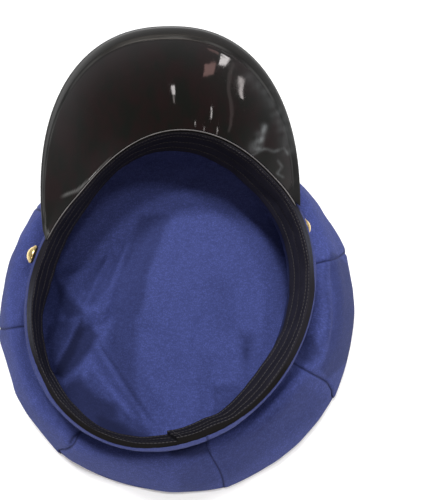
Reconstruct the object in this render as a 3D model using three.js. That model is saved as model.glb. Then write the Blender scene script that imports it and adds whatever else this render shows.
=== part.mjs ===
// A peaked cap that lies upside down on its crown: a cloth crown top flat on
// the floor, eight side panels that rise from it to an upright band, a
// sweatband inside the band, a moulded peak along the front of the rim and a
// button beyond each end of the peak.
// Millimetres and degrees, +Z up, +Y to the front. The origin is the middle
// of the crown top's underside. Angles are counted from +X towards +Y.

import * as THREE from "three";

// ---- Driving dimensions ----

const CLOTH = 1.3; // crown cloth with its seam allowance
const GAP = 0.3; // between pieces that are sewn or fastened face to face

// The eight seams of the side panels, at the crown's edge and where they
// cross the roll around the band. The flatness is how far the middle of the
// panel after the seam stays inside a round edge.
const SEAMS = [
  { angle: 11.5, radius: 127.6, rollAngle: 5.5, flatness: -0.4 },
  { angle: 54.5, radius: 127.4, rollAngle: 52, flatness: 1.6 },
  { angle: 97.5, radius: 127.4, rollAngle: 98, flatness: 2.1 },
  { angle: 141, radius: 127, rollAngle: 144, flatness: 2.6 },
  { angle: 184, radius: 126, rollAngle: 188.5, flatness: 0.8 },
  { angle: 228, radius: 128.2, rollAngle: 232.5, flatness: 2 },
  { angle: 280, radius: 128.4, rollAngle: 277.8, flatness: 1 },
  { angle: 324, radius: 126.6, rollAngle: 323.5, flatness: 1.3 },
];
const EDGE_ROLL = { out: -0.6, height: 7 }; // the cloth just over the seam with the crown top

// The soft roll that the panels make around the band.
const ROLLS = [
  { angle: 10, radius: 102, height: 53 },
  { angle: 55, radius: 109, height: 48 },
  { angle: 100, radius: 113, height: 46 },
  { angle: 140, radius: 104, height: 49 },
  { angle: 184, radius: 107, height: 49 },
  { angle: 228, radius: 112, height: 46 },
  { angle: 280, radius: 101, height: 47 },
  { angle: 315, radius: 98, height: 51 },
  { angle: 340, radius: 103, height: 53 },
];
const SLOPE_FULLNESS = { out: 2.5, up: 1.5 }; // the slope below the roll bellies out

// Creases that stay in the crown top after folding.
const CREASES = [
  { fromX: -86, fromY: 33, toX: -60, toY: -13, halfWidth: 16, height: 5 },
  { fromX: -67, fromY: -7, toX: -90, toY: -42, halfWidth: 12, height: 3.5 },
  { fromX: -59, fromY: -12, toX: -20, toY: -92, halfWidth: 12, height: 3.5 },
  { fromX: -3, fromY: 72, toX: -43, toY: -15, halfWidth: 14, height: 3.5 },
  { fromX: 41, fromY: 2, toX: 41, toY: -45, halfWidth: 12, height: 2.5 },
];

// The head opening: an oval that lies turned on the crown and is drawn out
// to the front by the peak.
const HEAD = { long: 194.5, wide: 168.8, longAxis: 59, x: 0.1, y: -5.4 };
const HEAD_FRONT = { angle: 87, out: 10.5, spread: 47 };
const RIM_HEIGHT = 82;
const BAND = { bottom: 40, wall: 2 };
const BAND_LEAN = { x: -10, y: 6 }; // how far its bottom edge is pushed off centre
const PANEL_JOIN = 43; // where the side panels meet the band's outside

// The rolled rim, from the band's outside over the top to its inside.
const RIM_ROLL = [
  { out: 0, down: 5 },
  { out: 0.8, down: 3.6 },
  { out: 1, down: 1.8 },
  { out: 0.4, down: 0.3 },
  { out: -0.7, down: 0 },
  { out: -1.7, down: 0.5 },
];

const SWEATBAND = { wall: 1.5, bottom: 50, top: 81.8 };
const SWEATBAND_LAP = { angle: 268, over: 12, fade: 10 }; // its ends cross at the back
const SWEATBAND_INSETS = [ // how far its free edge stands off the band
  { angle: 0, inset: 0.4 },
  { angle: 90, inset: 2 },
  { angle: 172, inset: 9.5 },
  { angle: 190, inset: 6.6 },
  { angle: 217, inset: 5.2 },
  { angle: 250, inset: 0.6 },
  { angle: 285, inset: 0.3 },
  { angle: 312, inset: 2.1 },
  { angle: 340, inset: 0.3 },
];

const PEAK = {
  wall: 1.8, root: -1.8, middleX: 3.5, backY: 47.2, halfWidth: 79.6, depth: 102.4,
  squareness: 2.31, turned: -3.3, rise: 16, levelToY: 31, lipWidth: 6.5, lipRaised: 0.5,
};
const PEAK_SIDES = 100; // how fast its straight sides run back behind the rounded outline
const PEAK_LEVEL = RIM_HEIGHT + PEAK.wall + GAP; // its upper face where it lies on the rim
const PEAK_ENDS = { rightRoot: 30, rightEdge: -3.5, leftRoot: 155, leftEdge: 189 };
const PEAK_LEAN = 25; // the direction of its thickness, back from upright

const BUTTONS = [
  { name: "button_right", angle: 20 },
  { name: "button_left", angle: 161 },
];
const BUTTON_HEIGHT = 71;
const BUTTON_PROFILE = [ // from the shank's end on the band to the top of the dome
  { radius: 0, out: 0 },
  { radius: 2, out: 0 },
  { radius: 2, out: 2.2 },
  { radius: 5.6, out: 2.2 },
  { radius: 6.2, out: 2.7 },
  { radius: 6.2, out: 3.5 },
  { radius: 5.6, out: 3.9 },
  { radius: 5, out: 3.7 },
  { radius: 3.8, out: 4.8 },
  { radius: 2, out: 5.5 },
  { radius: 0, out: 5.8 },
];

// How finely each piece is divided.
const ROUND_STEPS = 72;
const CREASE_RINGS = [8, 22, 36, 50, 64, 78, 92, 105, 117];
const PANEL_STEPS = 8;
const PANEL_ROWS = 9;
const SWEATBAND_ROWS = 4;
const PEAK_STEPS = 34;
const PEAK_ROWS = 5;
const BUTTON_STEPS = 20;

const MATERIALS = {
  crown: new THREE.MeshStandardMaterial({ color: 0x2e3572, roughness: 0.9 }),
  band: new THREE.MeshStandardMaterial({ color: 0x2b3168, roughness: 0.9 }),
  sweatband: new THREE.MeshStandardMaterial({ color: 0x17161a, roughness: 0.6 }),
  peak: new THREE.MeshStandardMaterial({ color: 0x0b0a0c, roughness: 0.12 }),
  button: new THREE.MeshStandardMaterial({ color: 0xd8b45a, roughness: 0.25, metalness: 1 }),
};

// ---- Points and tables ----

const radians = THREE.MathUtils.degToRad;
const { lerp, smoothstep } = THREE.MathUtils;

function polar(angle, radius, height) {
  const a = radians(angle);
  return new THREE.Vector3(radius * Math.cos(a), radius * Math.sin(a), height);
}

// Where an angle lies between two rows of a table that runs round the crown.
function rowsAround(rows, angle) {
  const first = rows[0].angle;
  const turned = first + THREE.MathUtils.euclideanModulo(angle - first, 360);
  const index = rows.findLastIndex((row) => row.angle <= turned);
  const row = rows[index];
  const next = rows[(index + 1) % rows.length];
  const span = THREE.MathUtils.euclideanModulo(next.angle - row.angle, 360);
  return { row, next, share: (turned - row.angle) / span };
}

function atAngle(rows, angle, column) {
  const { row, next, share } = rowsAround(rows, angle);
  return lerp(row[column], next[column], smoothstep(share, 0, 1));
}

function crownRadius(angle) {
  const { row, next, share } = rowsAround(SEAMS, angle);
  return lerp(row.radius, next.radius, share) - row.flatness * Math.sin(Math.PI * share);
}

function creaseHeight(x, y) {
  const here = new THREE.Vector3(x, y, 0);
  const heights = CREASES.map((crease) => {
    const from = new THREE.Vector3(crease.fromX, crease.fromY, 0);
    const to = new THREE.Vector3(crease.toX, crease.toY, 0);
    const nearest = new THREE.Line3(from, to).closestPointToPoint(here, true, new THREE.Vector3());
    return crease.height * (1 - smoothstep(nearest.distanceTo(here), 0, crease.halfWidth));
  });
  return Math.max(...heights);
}

// A point of the leaning band, `out` beyond its outer face.
function headPoint(angle, out, height) {
  const a = radians(angle - HEAD.longAxis);
  const long = HEAD.long / 2;
  const wide = HEAD.wide / 2;
  const oval = (long * wide) / Math.hypot(wide * Math.cos(a), long * Math.sin(a));
  const fromFront = Math.abs(THREE.MathUtils.euclideanModulo(angle - HEAD_FRONT.angle + 180, 360) - 180);
  const front = HEAD_FRONT.out * (1 - smoothstep(fromFront, 0, HEAD_FRONT.spread));
  const lean = (RIM_HEIGHT - height) / (RIM_HEIGHT - BAND.bottom);
  const centre = new THREE.Vector3(HEAD.x + lean * BAND_LEAN.x, HEAD.y + lean * BAND_LEAN.y, 0);
  return polar(angle, oval + front + out, height).add(centre);
}

// The same, at an angle counted about the crown's middle instead of the head's.
function headPointSeenFromCrown(angle, out, height) {
  const toMiddle = polar(angle, 1, 0);
  let point = headPoint(angle, out, height);
  let headAngle = angle;
  for (let i = 0; i < 6; i++) {
    const offLine = toMiddle.x * point.y - toMiddle.y * point.x;
    headAngle -= THREE.MathUtils.radToDeg(offLine / Math.hypot(point.x, point.y));
    point = headPoint(headAngle, out, height);
  }
  return point;
}

// ---- Closed bodies ----

// One section of a wall: its outer face, and its inner face the other way.
const wall = (outer, inner) => [...outer, ...inner.toReversed()];

// A closed body through a row of sections with equally many points. A body
// that isn't closed in a ring has its two end sections filled.
function loft(sections, isRing) {
  const size = sections[0].length;
  const faces = [];
  const quad = (a, b, c, d) => faces.push(a, b, c, a, c, d);
  const index = (i, j) => (i % sections.length) * size + (j % size);

  for (let i = 0; i < sections.length - (isRing ? 0 : 1); i++) {
    for (let j = 0; j < size; j++) {
      quad(index(i, j), index(i + 1, j), index(i + 1, j + 1), index(i, j + 1));
    }
  }
  if (!isRing) {
    const last = sections.length - 1;
    for (let j = 0; j < size / 2 - 1; j++) {
      const across = size - 1 - j;
      quad(index(0, j), index(0, j + 1), index(0, across - 1), index(0, across));
      quad(index(last, across), index(last, across - 1), index(last, j + 1), index(last, j));
    }
  }
  return new THREE.BufferGeometry().setFromPoints(sections.flat()).setIndex(faces);
}

// Evenly spaced values from one end to the other.
function spread(from, to, steps) {
  return Array.from({ length: steps + 1 }, (_, i) => lerp(from, to, i / steps));
}

const roundAngles = spread(0, 360, ROUND_STEPS).slice(0, -1);

// ---- The pieces ----

function crownTop() {
  const face = (angle, lift) => [
    new THREE.Vector3(0, 0, lift),
    ...CREASE_RINGS.map((radius) => {
      const point = polar(angle, radius, lift);
      point.z += creaseHeight(point.x, point.y);
      return point;
    }),
    polar(angle, crownRadius(angle), lift),
  ];
  return loft(roundAngles.map((angle) => wall(face(angle, 0), face(angle, CLOTH))), true);
}

// The line from the crown's edge over the roll to the band, with the panel's
// direction turning from the one angle to the other on the way.
function panelLine(edgeAngle, rollAngle) {
  const low = polar(edgeAngle, crownRadius(edgeAngle) + EDGE_ROLL.out, EDGE_ROLL.height);
  const roll = polar(
    rollAngle,
    atAngle(ROLLS, rollAngle, "radius"),
    atAngle(ROLLS, rollAngle, "height"),
  );
  const fullness = polar(edgeAngle, SLOPE_FULLNESS.out, SLOPE_FULLNESS.up);
  return new THREE.CatmullRomCurve3([
    polar(edgeAngle, crownRadius(edgeAngle), CLOTH + GAP),
    low,
    low.clone().lerp(roll, 0.5).add(fullness),
    roll,
    headPointSeenFromCrown(rollAngle, GAP, PANEL_JOIN),
  ]);
}

function panelSection(edgeAngle, rollAngle) {
  const line = panelLine(edgeAngle, rollAngle);
  const rows = spread(0, 1, PANEL_ROWS);
  const outer = rows.map((share) => line.getPoint(share));
  const inner = rows.map((share, row) => {
    const sideways = polar(lerp(edgeAngle, rollAngle, share) + 90, 1, 0);
    const facing = sideways.cross(line.getTangent(share)).normalize();
    return outer[row].clone().addScaledVector(facing, -CLOTH);
  });
  inner[0] = polar(edgeAngle, crownRadius(edgeAngle) - CLOTH, CLOTH + GAP);
  inner[PANEL_ROWS] = headPointSeenFromCrown(rollAngle, GAP, PANEL_JOIN - CLOTH);
  return wall(outer, inner);
}

function crownPanel(seam, nextSeam) {
  const turns = nextSeam.angle > seam.angle ? 0 : 360;
  const width = seam.radius * radians(nextSeam.angle + turns - seam.angle);
  const trim = GAP / 2 / width;
  return loft(spread(trim, 1 - trim, PANEL_STEPS).map((share) => panelSection(
    lerp(seam.angle, nextSeam.angle + turns, share),
    lerp(seam.rollAngle, nextSeam.rollAngle + turns, share),
  )), false);
}

function band() {
  const section = (angle) => [
    headPoint(angle, 0, BAND.bottom),
    ...RIM_ROLL.map(({ out, down }) => headPoint(angle, out, RIM_HEIGHT - down)),
    headPoint(angle, -BAND.wall, RIM_HEIGHT - 2),
    headPoint(angle, -BAND.wall, BAND.bottom),
  ];
  return loft(roundAngles.map(section), true);
}

// One strip whose first end lies over its last at the back of the head.
function sweatband() {
  const { angle: start, over, fade } = SWEATBAND_LAP;
  const lapShift = SWEATBAND.wall + GAP;
  const section = (angle) => {
    const lap = lapShift * (1 - smoothstep(angle - start, over + 2, over + 2 + fade));
    const inset = atAngle(SWEATBAND_INSETS, angle, "inset");
    const face = (depth) => spread(0, 1, SWEATBAND_ROWS).map((share) => headPoint(
      angle,
      -BAND.wall - GAP - lap - depth - inset * (1 - share),
      lerp(SWEATBAND.bottom, SWEATBAND.top, share),
    ));
    return wall(face(0), face(SWEATBAND.wall));
  };
  return loft(spread(start, start + 360 + over, ROUND_STEPS + 4).map(section), false);
}

// The peak's free edge, a rounded outline with straight sides behind it, level
// beside the band and then in a plane that rises to the front.
function peakEdge(angle) {
  const power = 2 / PEAK.squareness;
  const sine = Math.sin(radians(angle));
  const across = PEAK.halfWidth * Math.sign(Math.cos(radians(angle)))
    * Math.abs(Math.cos(radians(angle))) ** power;
  const forward = sine > 0 ? PEAK.depth * sine ** power : PEAK_SIDES * sine;
  const point = new THREE.Vector3(across, forward, 0)
    .applyAxisAngle(new THREE.Vector3(0, 0, 1), radians(PEAK.turned));
  const climb = Math.max(0, forward + PEAK.backY - PEAK.levelToY) * Math.tan(radians(PEAK.rise));
  return point.add(new THREE.Vector3(PEAK.middleX, PEAK.backY, PEAK_LEVEL + climb));
}

function peak() {
  const thickness = new THREE.Vector3(0, -Math.sin(radians(PEAK_LEAN)), Math.cos(radians(PEAK_LEAN)));
  const section = (share) => {
    const rootAngle = lerp(PEAK_ENDS.rightRoot, PEAK_ENDS.leftRoot, share);
    const root = headPoint(rootAngle, PEAK.root, PEAK_LEVEL);
    const edge = peakEdge(lerp(PEAK_ENDS.rightEdge, PEAK_ENDS.leftEdge, share));
    const lipShare = Math.max(0.2, 1 - PEAK.lipWidth / root.distanceTo(edge));
    const plate = spread(0, lipShare, PEAK_ROWS).map((at) => ({ at, raised: 0 }));
    const lip = [lipShare + 0.02, 1].map((at) => ({ at, raised: PEAK.lipRaised }));
    const rows = [...plate, ...lip].map(({ at, raised }) => ({ place: root.clone().lerp(edge, at), raised }));
    const upper = rows.map(({ place, raised }) => place.clone().addScaledVector(thickness, raised));
    const lower = rows.map(({ place }) => place.clone().addScaledVector(thickness, -PEAK.wall));
    return wall(lower, upper);
  };
  return loft(spread(0, 1, PEAK_STEPS).map(section), false);
}

function button() {
  const profile = BUTTON_PROFILE.map(({ radius, out }) => new THREE.Vector2(radius, out));
  return new THREE.LatheGeometry(profile, BUTTON_STEPS);
}

// Sets a mesh on the band's outside, its own Y axis straight out of the cloth.
function setOnBand(mesh, angle, height) {
  const along = headPoint(angle + 1, 0, height).sub(headPoint(angle - 1, 0, height));
  const up = headPoint(angle, 0, height + 1).sub(headPoint(angle, 0, height - 1));
  const facing = along.cross(up).normalize();
  mesh.position.copy(headPoint(angle, 0, height)).addScaledVector(facing, GAP);
  mesh.quaternion.setFromUnitVectors(new THREE.Vector3(0, 1, 0), facing);
}

// ---- The cap ----

const cap = new THREE.Group();

function addPiece(name, geometry, material) {
  const mesh = new THREE.Mesh(geometry, material);
  mesh.name = name;
  cap.add(mesh);
  return mesh;
}

addPiece("crown_top", crownTop(), MATERIALS.crown);
SEAMS.forEach((seam, i) => {
  const nextSeam = SEAMS[(i + 1) % SEAMS.length];
  addPiece(`crown_panel_${i + 1}`, crownPanel(seam, nextSeam), MATERIALS.crown);
});
addPiece("band", band(), MATERIALS.band);
addPiece("sweatband", sweatband(), MATERIALS.sweatband);
addPiece("peak", peak(), MATERIALS.peak);
for (const { name, angle } of BUTTONS) {
  setOnBand(addPiece(name, button(), MATERIALS.button), angle, BUTTON_HEIGHT);
}

export default cap;
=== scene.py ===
"""Dresses the peaked cap: cloth, vinyl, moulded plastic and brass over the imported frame.

The tables and the shape functions are in millimetres and degrees, with angles counted from +X
towards +Y, as in the cap's own solids. Meshes, lights and the camera are in metres.
"""

import math
from collections import namedtuple

import bmesh
import bpy
import numpy as np
from bpy.props import FloatProperty, FloatVectorProperty, IntProperty, PointerProperty
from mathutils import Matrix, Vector


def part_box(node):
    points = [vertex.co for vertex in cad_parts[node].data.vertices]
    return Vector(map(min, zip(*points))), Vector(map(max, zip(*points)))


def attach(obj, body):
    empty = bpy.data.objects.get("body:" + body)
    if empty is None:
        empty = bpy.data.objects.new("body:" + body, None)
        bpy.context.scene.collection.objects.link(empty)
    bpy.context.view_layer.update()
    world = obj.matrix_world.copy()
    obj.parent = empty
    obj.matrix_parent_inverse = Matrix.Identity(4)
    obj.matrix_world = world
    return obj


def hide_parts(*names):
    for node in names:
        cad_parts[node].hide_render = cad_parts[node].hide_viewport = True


bl_info = {
    "name": "Peaked Cap",
    "version": (1, 0, 0),
    "blender": (4, 5, 0),
    "location": "3D View > Sidebar > Peaked Cap",
    "description": "Makes a cloth cap with a sweatband, a glossy peak and side buttons",
    "category": "Object",
}

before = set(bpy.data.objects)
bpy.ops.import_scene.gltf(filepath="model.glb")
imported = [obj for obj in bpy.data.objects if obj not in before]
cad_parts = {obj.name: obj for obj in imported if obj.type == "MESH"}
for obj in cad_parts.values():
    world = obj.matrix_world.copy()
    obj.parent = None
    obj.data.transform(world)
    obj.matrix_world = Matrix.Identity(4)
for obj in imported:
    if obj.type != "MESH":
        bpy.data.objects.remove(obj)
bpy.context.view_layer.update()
MM = 0.001

# ---- The cap's form, the same as in its solids ----

CLOTH = 1.3
GAP = 0.3

# A seam's flatness is how far the middle of the panel after it stays inside a round edge, and its
# notch how far that panel stands proud of the one before.
Seam = namedtuple("Seam", "angle radius roll_angle flatness wander notch")
SEAMS = [
    Seam(11.5, 127.6, 5.5, -0.4, 0.5, 0.3),
    Seam(54.5, 127.4, 52, 1.6, 0.4, 0.2),
    Seam(97.5, 127.4, 98, 2.1, 0.4, 0.2),
    Seam(141, 127, 144, 2.6, 0.4, 0.2),
    Seam(184, 126, 188.5, 0.8, 0.3, 0.3),
    Seam(228, 128.2, 232.5, 2.0, 0.9, -1.0),
    Seam(280, 128.4, 277.8, 1.0, 0.6, 0.6),
    Seam(324, 126.6, 323.5, 1.3, 1.1, 1.0),
]

# On its way up a panel bends over the crown's edge, swells, and turns over a roll to the band.
EDGE_ROLL_OUT = -0.6
EDGE_ROLL_HEIGHT = 7
SLOPE_OUT = 2.5
SLOPE_UP = 1.5
Roll = namedtuple("Roll", "angle radius height")
ROLLS = [
    Roll(10, 102, 53),
    Roll(55, 109, 48),
    Roll(100, 113, 46),
    Roll(140, 104, 49),
    Roll(184, 107, 49),
    Roll(228, 112, 46),
    Roll(280, 101, 47),
    Roll(315, 98, 51),
    Roll(340, 103, 53),
]

# The head opening is an oval drawn out at the front, and the band around it leans.
HEAD_LONG = 194.5
HEAD_WIDE = 168.8
HEAD_LONG_AXIS = 59
HEAD_X = 0.1
HEAD_Y = -5.4
FRONT_ANGLE = 87
FRONT_OUT = 10.5
FRONT_SPREAD = 47
BAND_WALL = 2
BAND_LEAN_X = -10
BAND_LEAN_Y = 6
PANEL_JOIN = 43
RIM_HEIGHT = 82
BAND_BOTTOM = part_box("band")[0].z / MM

SWEATBAND_WALL = 1.5
SWEATBAND_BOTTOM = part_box("sweatband")[0].z / MM
SWEATBAND_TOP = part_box("sweatband")[1].z / MM
LAP_START = 268
LAP_OVER = 12
LAP_FADE = 10

# How far in the sweatband's free edge stands from the band.
Inset = namedtuple("Inset", "angle inset")
SWEATBAND_INSETS = [
    Inset(0, 0.4),
    Inset(90, 2),
    Inset(172, 9.5),
    Inset(190, 6.6),
    Inset(217, 5.2),
    Inset(250, 0.6),
    Inset(285, 0.3),
    Inset(312, 2.1),
    Inset(340, 0.3),
]

# The rows of stitches, as shares from the sweatband's free edge to the rim, and how far all but
# the last of them stray towards the rim.
STITCH_ROWS = (0.08, 0.38, 0.70, 0.96)
STRAIGHT_ROW = STITCH_ROWS[-1]
Drift = namedtuple("Drift", "angle share")
STITCH_DRIFTS = [Drift(0, 0.14), Drift(60, 0.14), Drift(120, 0.04), Drift(200, 0.02), Drift(310, 0)]
TAPE_EDGE = 0.53  # where the sweatband's folded tape begins

# How far in the band's cloth reaches over the rim before the tape begins.
Cover = namedtuple("Cover", "angle out")
RIM_COVERS = [
    Cover(2, -1.4),
    Cover(22, -1.0),
    Cover(34, -1.1),
    Cover(150, -0.9),
    Cover(168, -0.8),
    Cover(193, -1.1),
    Cover(210, -2.0),
    Cover(225, -1.25),
    Cover(245, -1.1),
    Cover(274, -2.1),
    Cover(287, -1.8),
    Cover(300, -1.2),
    Cover(315, -1.0),
    Cover(338, -0.75),
    Cover(352, -0.6),
]
RUBBED_TAPE = ((14, 22), (187, 22))  # the middle and spread of where the tape's fold is worn grey
TAPE_TOP = 82.15

# The peak's free edge has a rounded front and straight sides, on a plane that rises to the front.
PEAK_WALL = 1.8
PEAK_ROOT = -1.8
PEAK_X = 3.5
PEAK_Y = 47.2
PEAK_HALF_WIDTH = 79.6
PEAK_DEPTH = 102.4
PEAK_SQUARENESS = 2.31
PEAK_TURNED = -3.3
PEAK_RISE = 16
PEAK_LEVEL_TO_Y = 31
PEAK_SIDES = 100
PEAK_LEAN = 25
PEAK_LEVEL = RIM_HEIGHT + PEAK_WALL + GAP
RIGHT_ROOT = 30
RIGHT_EDGE = -3.5
LEFT_ROOT = 155
LEFT_EDGE = 189

BUTTON_ANGLES = {"button_right": 20, "button_left": 161}
BUTTON_HEIGHT = 71

# ---- Folds, as lines over the cap's plan ----

# The height of a fold falls away over its left and right widths, seen along its points. A crisp
# fold has a sharp crest, a soft one is rounded. A negative height is a valley. The mark darkens
# the line itself, partly crushed nap and partly painted crease shade, and the painted shade
# darkens one side of it: the right where it is positive, the left where it is negative.
Fold = namedtuple("Fold", "height left right crisp mark dusk points")
CROWN_FOLDS = [
    Fold(8, 34, 20, 0.9, 0.3, 0, [(-86, 33), (-84, 24), (-78, 15), (-68, 1), (-60, -13)]),
    Fold(5, 14, 20, 0.9, 0.5, 0, [(-67, -7), (-70, -12), (-77, -23), (-86, -36), (-90, -42)]),
    Fold(5, 9, 10, 0.3, 0, 0, [(-59, -12), (-53, -32), (-43, -50), (-27, -79), (-20, -92)]),
    Fold(-2.5, 16, 3, 0.8, 0.6, -0.2, [(-59, -16), (-55, -26), (-47, -39), (-35, -60), (-19, -86)]),
    Fold(3.5, 5, 15, 0.8, 0.3, 0, [(-63, -47), (-53, -59), (-44, -69), (-36, -82)]),
    Fold(3, 4.5, 4.5, 0.5, 0, 0.1, [(-45, 44), (-56, 22), (-63, 6), (-66, -2)]),
    Fold(3.5, 5, 5, 0.4, 0, 0.1, [
        (-31, 53), (-36, 39), (-43, 25), (-49, 7), (-53, -6), (-57, -14),
    ]),
    Fold(5, 45, 15, 1, 0, 0, [(-3, 72), (-9, 51), (-18, 28), (-22, 5), (-32, -12), (-43, -15)]),
    Fold(2.5, 10, 14, 0.4, 0, 0, [(40, 2), (44, -23), (40, -45)]),
    Fold(-2.5, 12, 12, 0, 0, 0, [(31, 22), (33, -4), (18, -21), (11, -55), (7, -82)]),
    Fold(-2, 4, 3, 0.5, 0.1, 0, [(46, -35), (47, -45), (48, -53)]),
    Fold(2, 3, 8, 0.8, 0, 0, [(20, -58), (27, -59), (34, -61)]),
    Fold(2, 8, 3, 0.8, 0.1, 0, [(23, -58), (19, -69), (15, -80)]),
    Fold(-1, 2.5, 3.5, 0.5, 0.95, 0, [(-65, -3), (-70, -12), (-76, -22), (-82, -32), (-89, -43)]),
    Fold(-1, 2, 2, 0.5, 0.5, 0, [(-66, -41), (-62, -46), (-55, -55), (-48, -64)]),
]
PANEL_FOLDS = [
    Fold(3.0, 3.5, 11, 0.8, 0.45, 0, [
        (106, 16), (100, 9), (98, -6), (97.5, -18), (96.5, -30), (93, -40), (84, -50),
    ]),
    Fold(-2.0, 8, 4, 0.3, 0.2, 0, [
        (104, 10), (103, -4), (102, -18), (101, -30), (98, -42), (92, -54),
    ]),
    Fold(-1.6, 5, 5, 0.3, 0.3, 0, [(82, -44), (74, -55), (60, -68), (40, -82), (14, -94)]),
    Fold(2.0, 8, 7, 0.5, 0, -0.15, [
        (88, -52), (77, -62), (60, -78), (40, -91), (27, -96), (15, -101),
    ]),
    Fold(-2.4, 5, 6, 0.6, 0.9, 0, [(-62, -82), (-68, -86), (-73, -92)]),
    Fold(1.4, 10, 10, 0.2, 0, 0, [(-92, -60), (-84, -70), (-76, -79)]),
]

# Painted shade on facets of the loose cloth that lie turned from the light and in shadow.
Facet = namedtuple("Facet", "depth soft points")
CROWN_FACETS = [
    Facet(0.58, 4, [
        (-86, 27), (-77, 11), (-65, -4), (-70, -4), (-78, -6), (-82, 2), (-84, 12), (-86, 24),
    ]),
    Facet(0.36, 5, [(-90, -7), (-84, -5), (-68, -5), (-79, -22), (-87, -34), (-92, -30)]),
    Facet(0.5, 2.5, [(-93, -7), (-89, -9), (-91, -20), (-96, -22)]),
    Facet(0.8, 5, [
        (-68, -7), (-62, -11), (-57, -18), (-63, -28), (-72, -38), (-85, -48), (-88, -40),
        (-80, -27), (-73, -17),
    ]),
    Facet(0.25, 4, [
        (-51, 38), (-55, 31), (-59, 22), (-63, 14), (-67, 15), (-64, 23), (-60, 31), (-55, 39),
    ]),
    Facet(0.35, 4, [
        (-40, 40), (-44, 28), (-50, 14), (-57, 3), (-61, 5), (-54, 18), (-48, 31), (-44, 41),
    ]),
    Facet(0.46, 6, [
        (-23, 70), (-30, 54), (-35, 39), (-40, 24), (-45, 10), (-47, -4), (-46, -11), (-34, -12),
        (-26, -6), (-22, 7), (-20, 22), (-13, 36), (-6, 52), (1, 68),
    ]),
    Facet(0.42, 7, [
        (-47, -6), (-50, -18), (-49, -33), (-44, -47), (-38, -63), (-31, -79), (-31, -68),
        (-33, -51), (-32, -31), (-29, -13), (-36, -6),
    ]),
    Facet(0.85, 9, [
        (-88, -52), (-72, -44), (-66, -50), (-60, -58), (-46, -66), (-44, -76), (-66, -84),
        (-84, -78),
    ]),
    Facet(1.0, 2.5, [(-69, -9), (-65, -13), (-74, -31), (-84, -46), (-89, -42), (-80, -27)]),
    Facet(0.42, 3, [
        (-65, -44), (-54, -60), (-40, -72), (-22, -90), (-45, -84), (-64, -70), (-72, -58),
        (-70, -50),
    ]),
    Facet(1.0, 12, [(-66, -68), (-56, -69), (-45, -76), (-26, -89), (-42, -96), (-64, -86)]),
    Facet(0.55, 11, [(42, -24), (52, -28), (49, -42), (43, -48)]),
    Facet(0.16, 12, [(24, 17), (37, 14), (40, -5), (40, -25), (23, -23), (23, -1)]),
    Facet(0.25, 2.5, [(21, -59), (36, -59), (41, -68), (28, -76), (18, -81)]),
    Facet(0.28, 9, [(66, 37), (79, 31), (85, 7), (82, -18), (76, -23), (72, -7), (71, 16)]),
    Facet(0.18, 8, [(12, -37), (24, -38), (20, -57), (13, -82), (5, -83), (9, -60)]),
]
PANEL_FACETS = [
    Facet(0.45, 2.5, [
        (104, 16), (124, 15), (126, -4), (124, -28), (116, -50), (95, -64), (88, -59), (95, -47),
        (100, -33), (103, -15), (102, 4),
    ]),
    Facet(0.6, 5, [(80, -36), (86, -38), (89, -50), (82, -56), (75, -52)]),
    Facet(0.75, 4, [(-12, -98), (2, -97), (13, -95), (15, -103), (4, -105), (-9, -104)]),
    Facet(0.32, 8, [
        (16, -104), (26, -99), (44, -90), (77, -68), (94, -76), (86, -87), (51, -107), (26, -122),
        (20, -119),
    ]),
    Facet(0.3, 8, [(-7, -113), (7, -106), (15, -104), (19, -122), (6, -128), (-7, -126)]),
    Facet(0.2, 8, [(-100, 40), (-112, 10), (-108, -20), (-116, -20), (-122, 10), (-110, 45)]),
]

# ---- Points ----

# Soft waves of cloth and plastic, and of how evenly things are worn.
Wave = namedtuple("Wave", "height length seed")
CROWN_WAVES = [Wave(0.6, 48, 3), Wave(0.25, 17, 8), Wave(0.07, 7, 21)]
PANEL_WAVES = [Wave(1, 42, 5), Wave(0.3, 15, 6)]
BAND_WAVES = [Wave(0.14, 22, 14), Wave(0.1, 5, 15)]
BAND_RUBBING = [Wave(0.3, 40, 17)]
SWEATBAND_WAVES = [Wave(0.22, 17, 31)]
TAPE_WAVES = [Wave(0.1, 9, 33)]
STITCH_WOBBLE = [Wave(0.006, 25, 40)]
PEAK_RIPPLES = [Wave(0.04, 21, 51)]
PEAK_SWELL = [Wave(0.35, 90, 52)]
LIP_LINE_WEAR = [Wave(0.13, 24, 55)]
SMUDGE_PATCHES = [Wave(0.4, 5, 56)]
BINDING_WAVES = [Wave(0.1, 3, 61)]
RIPPLE_TURNS = 7
RIPPLE_SPREAD = (0.7, 1.5)

SETTLING_TURNS = 6  # enough for an angle about the crown to find its angle about the head
CREST_POWER = 1.15  # how steeply a crisp fold leaves its crest
NAP_AND_SHADE_WIDTH = 1.3  # of the crushed nap and painted crease shade along a fold's line
PAINTED_SHADE_NEAR = 1.2  # the painted shade beside a fold deepens over this distance from its line


def smooth(share):
    """A soft step from 0 to 1."""
    share = np.clip(share, 0, 1)
    return share * share * (3 - 2 * share)


def bell(distance, width):
    """1 at no distance, and a soft fall on both sides."""
    return np.exp(-((distance / width) ** 2))


def blend(low, high, share):
    """A value that share of the way from low to high."""
    return low + (high - low) * share


def fade_ends(along, pace, least=0.0):
    """1 along a line, with a soft fall towards both its ends."""
    return smooth(along * pace + least) * smooth((1 - along) * pace + least)


def off_angle(angle, middle):
    """Degrees from a middle angle, the shorter way round."""
    return np.abs((angle - middle + 180) % 360 - 180)


def near(angle, middle, spread):
    """1 at a middle angle, and a soft fall to 0 at its spread on both sides."""
    return 1 - smooth(off_angle(angle, middle) / spread)


def polar(angle, radius, height):
    """Points at some angles, radii and heights."""
    turned = np.radians(angle)
    flat = np.broadcast_arrays(radius * np.cos(turned), radius * np.sin(turned), height)
    return np.stack(flat, -1)


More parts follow.
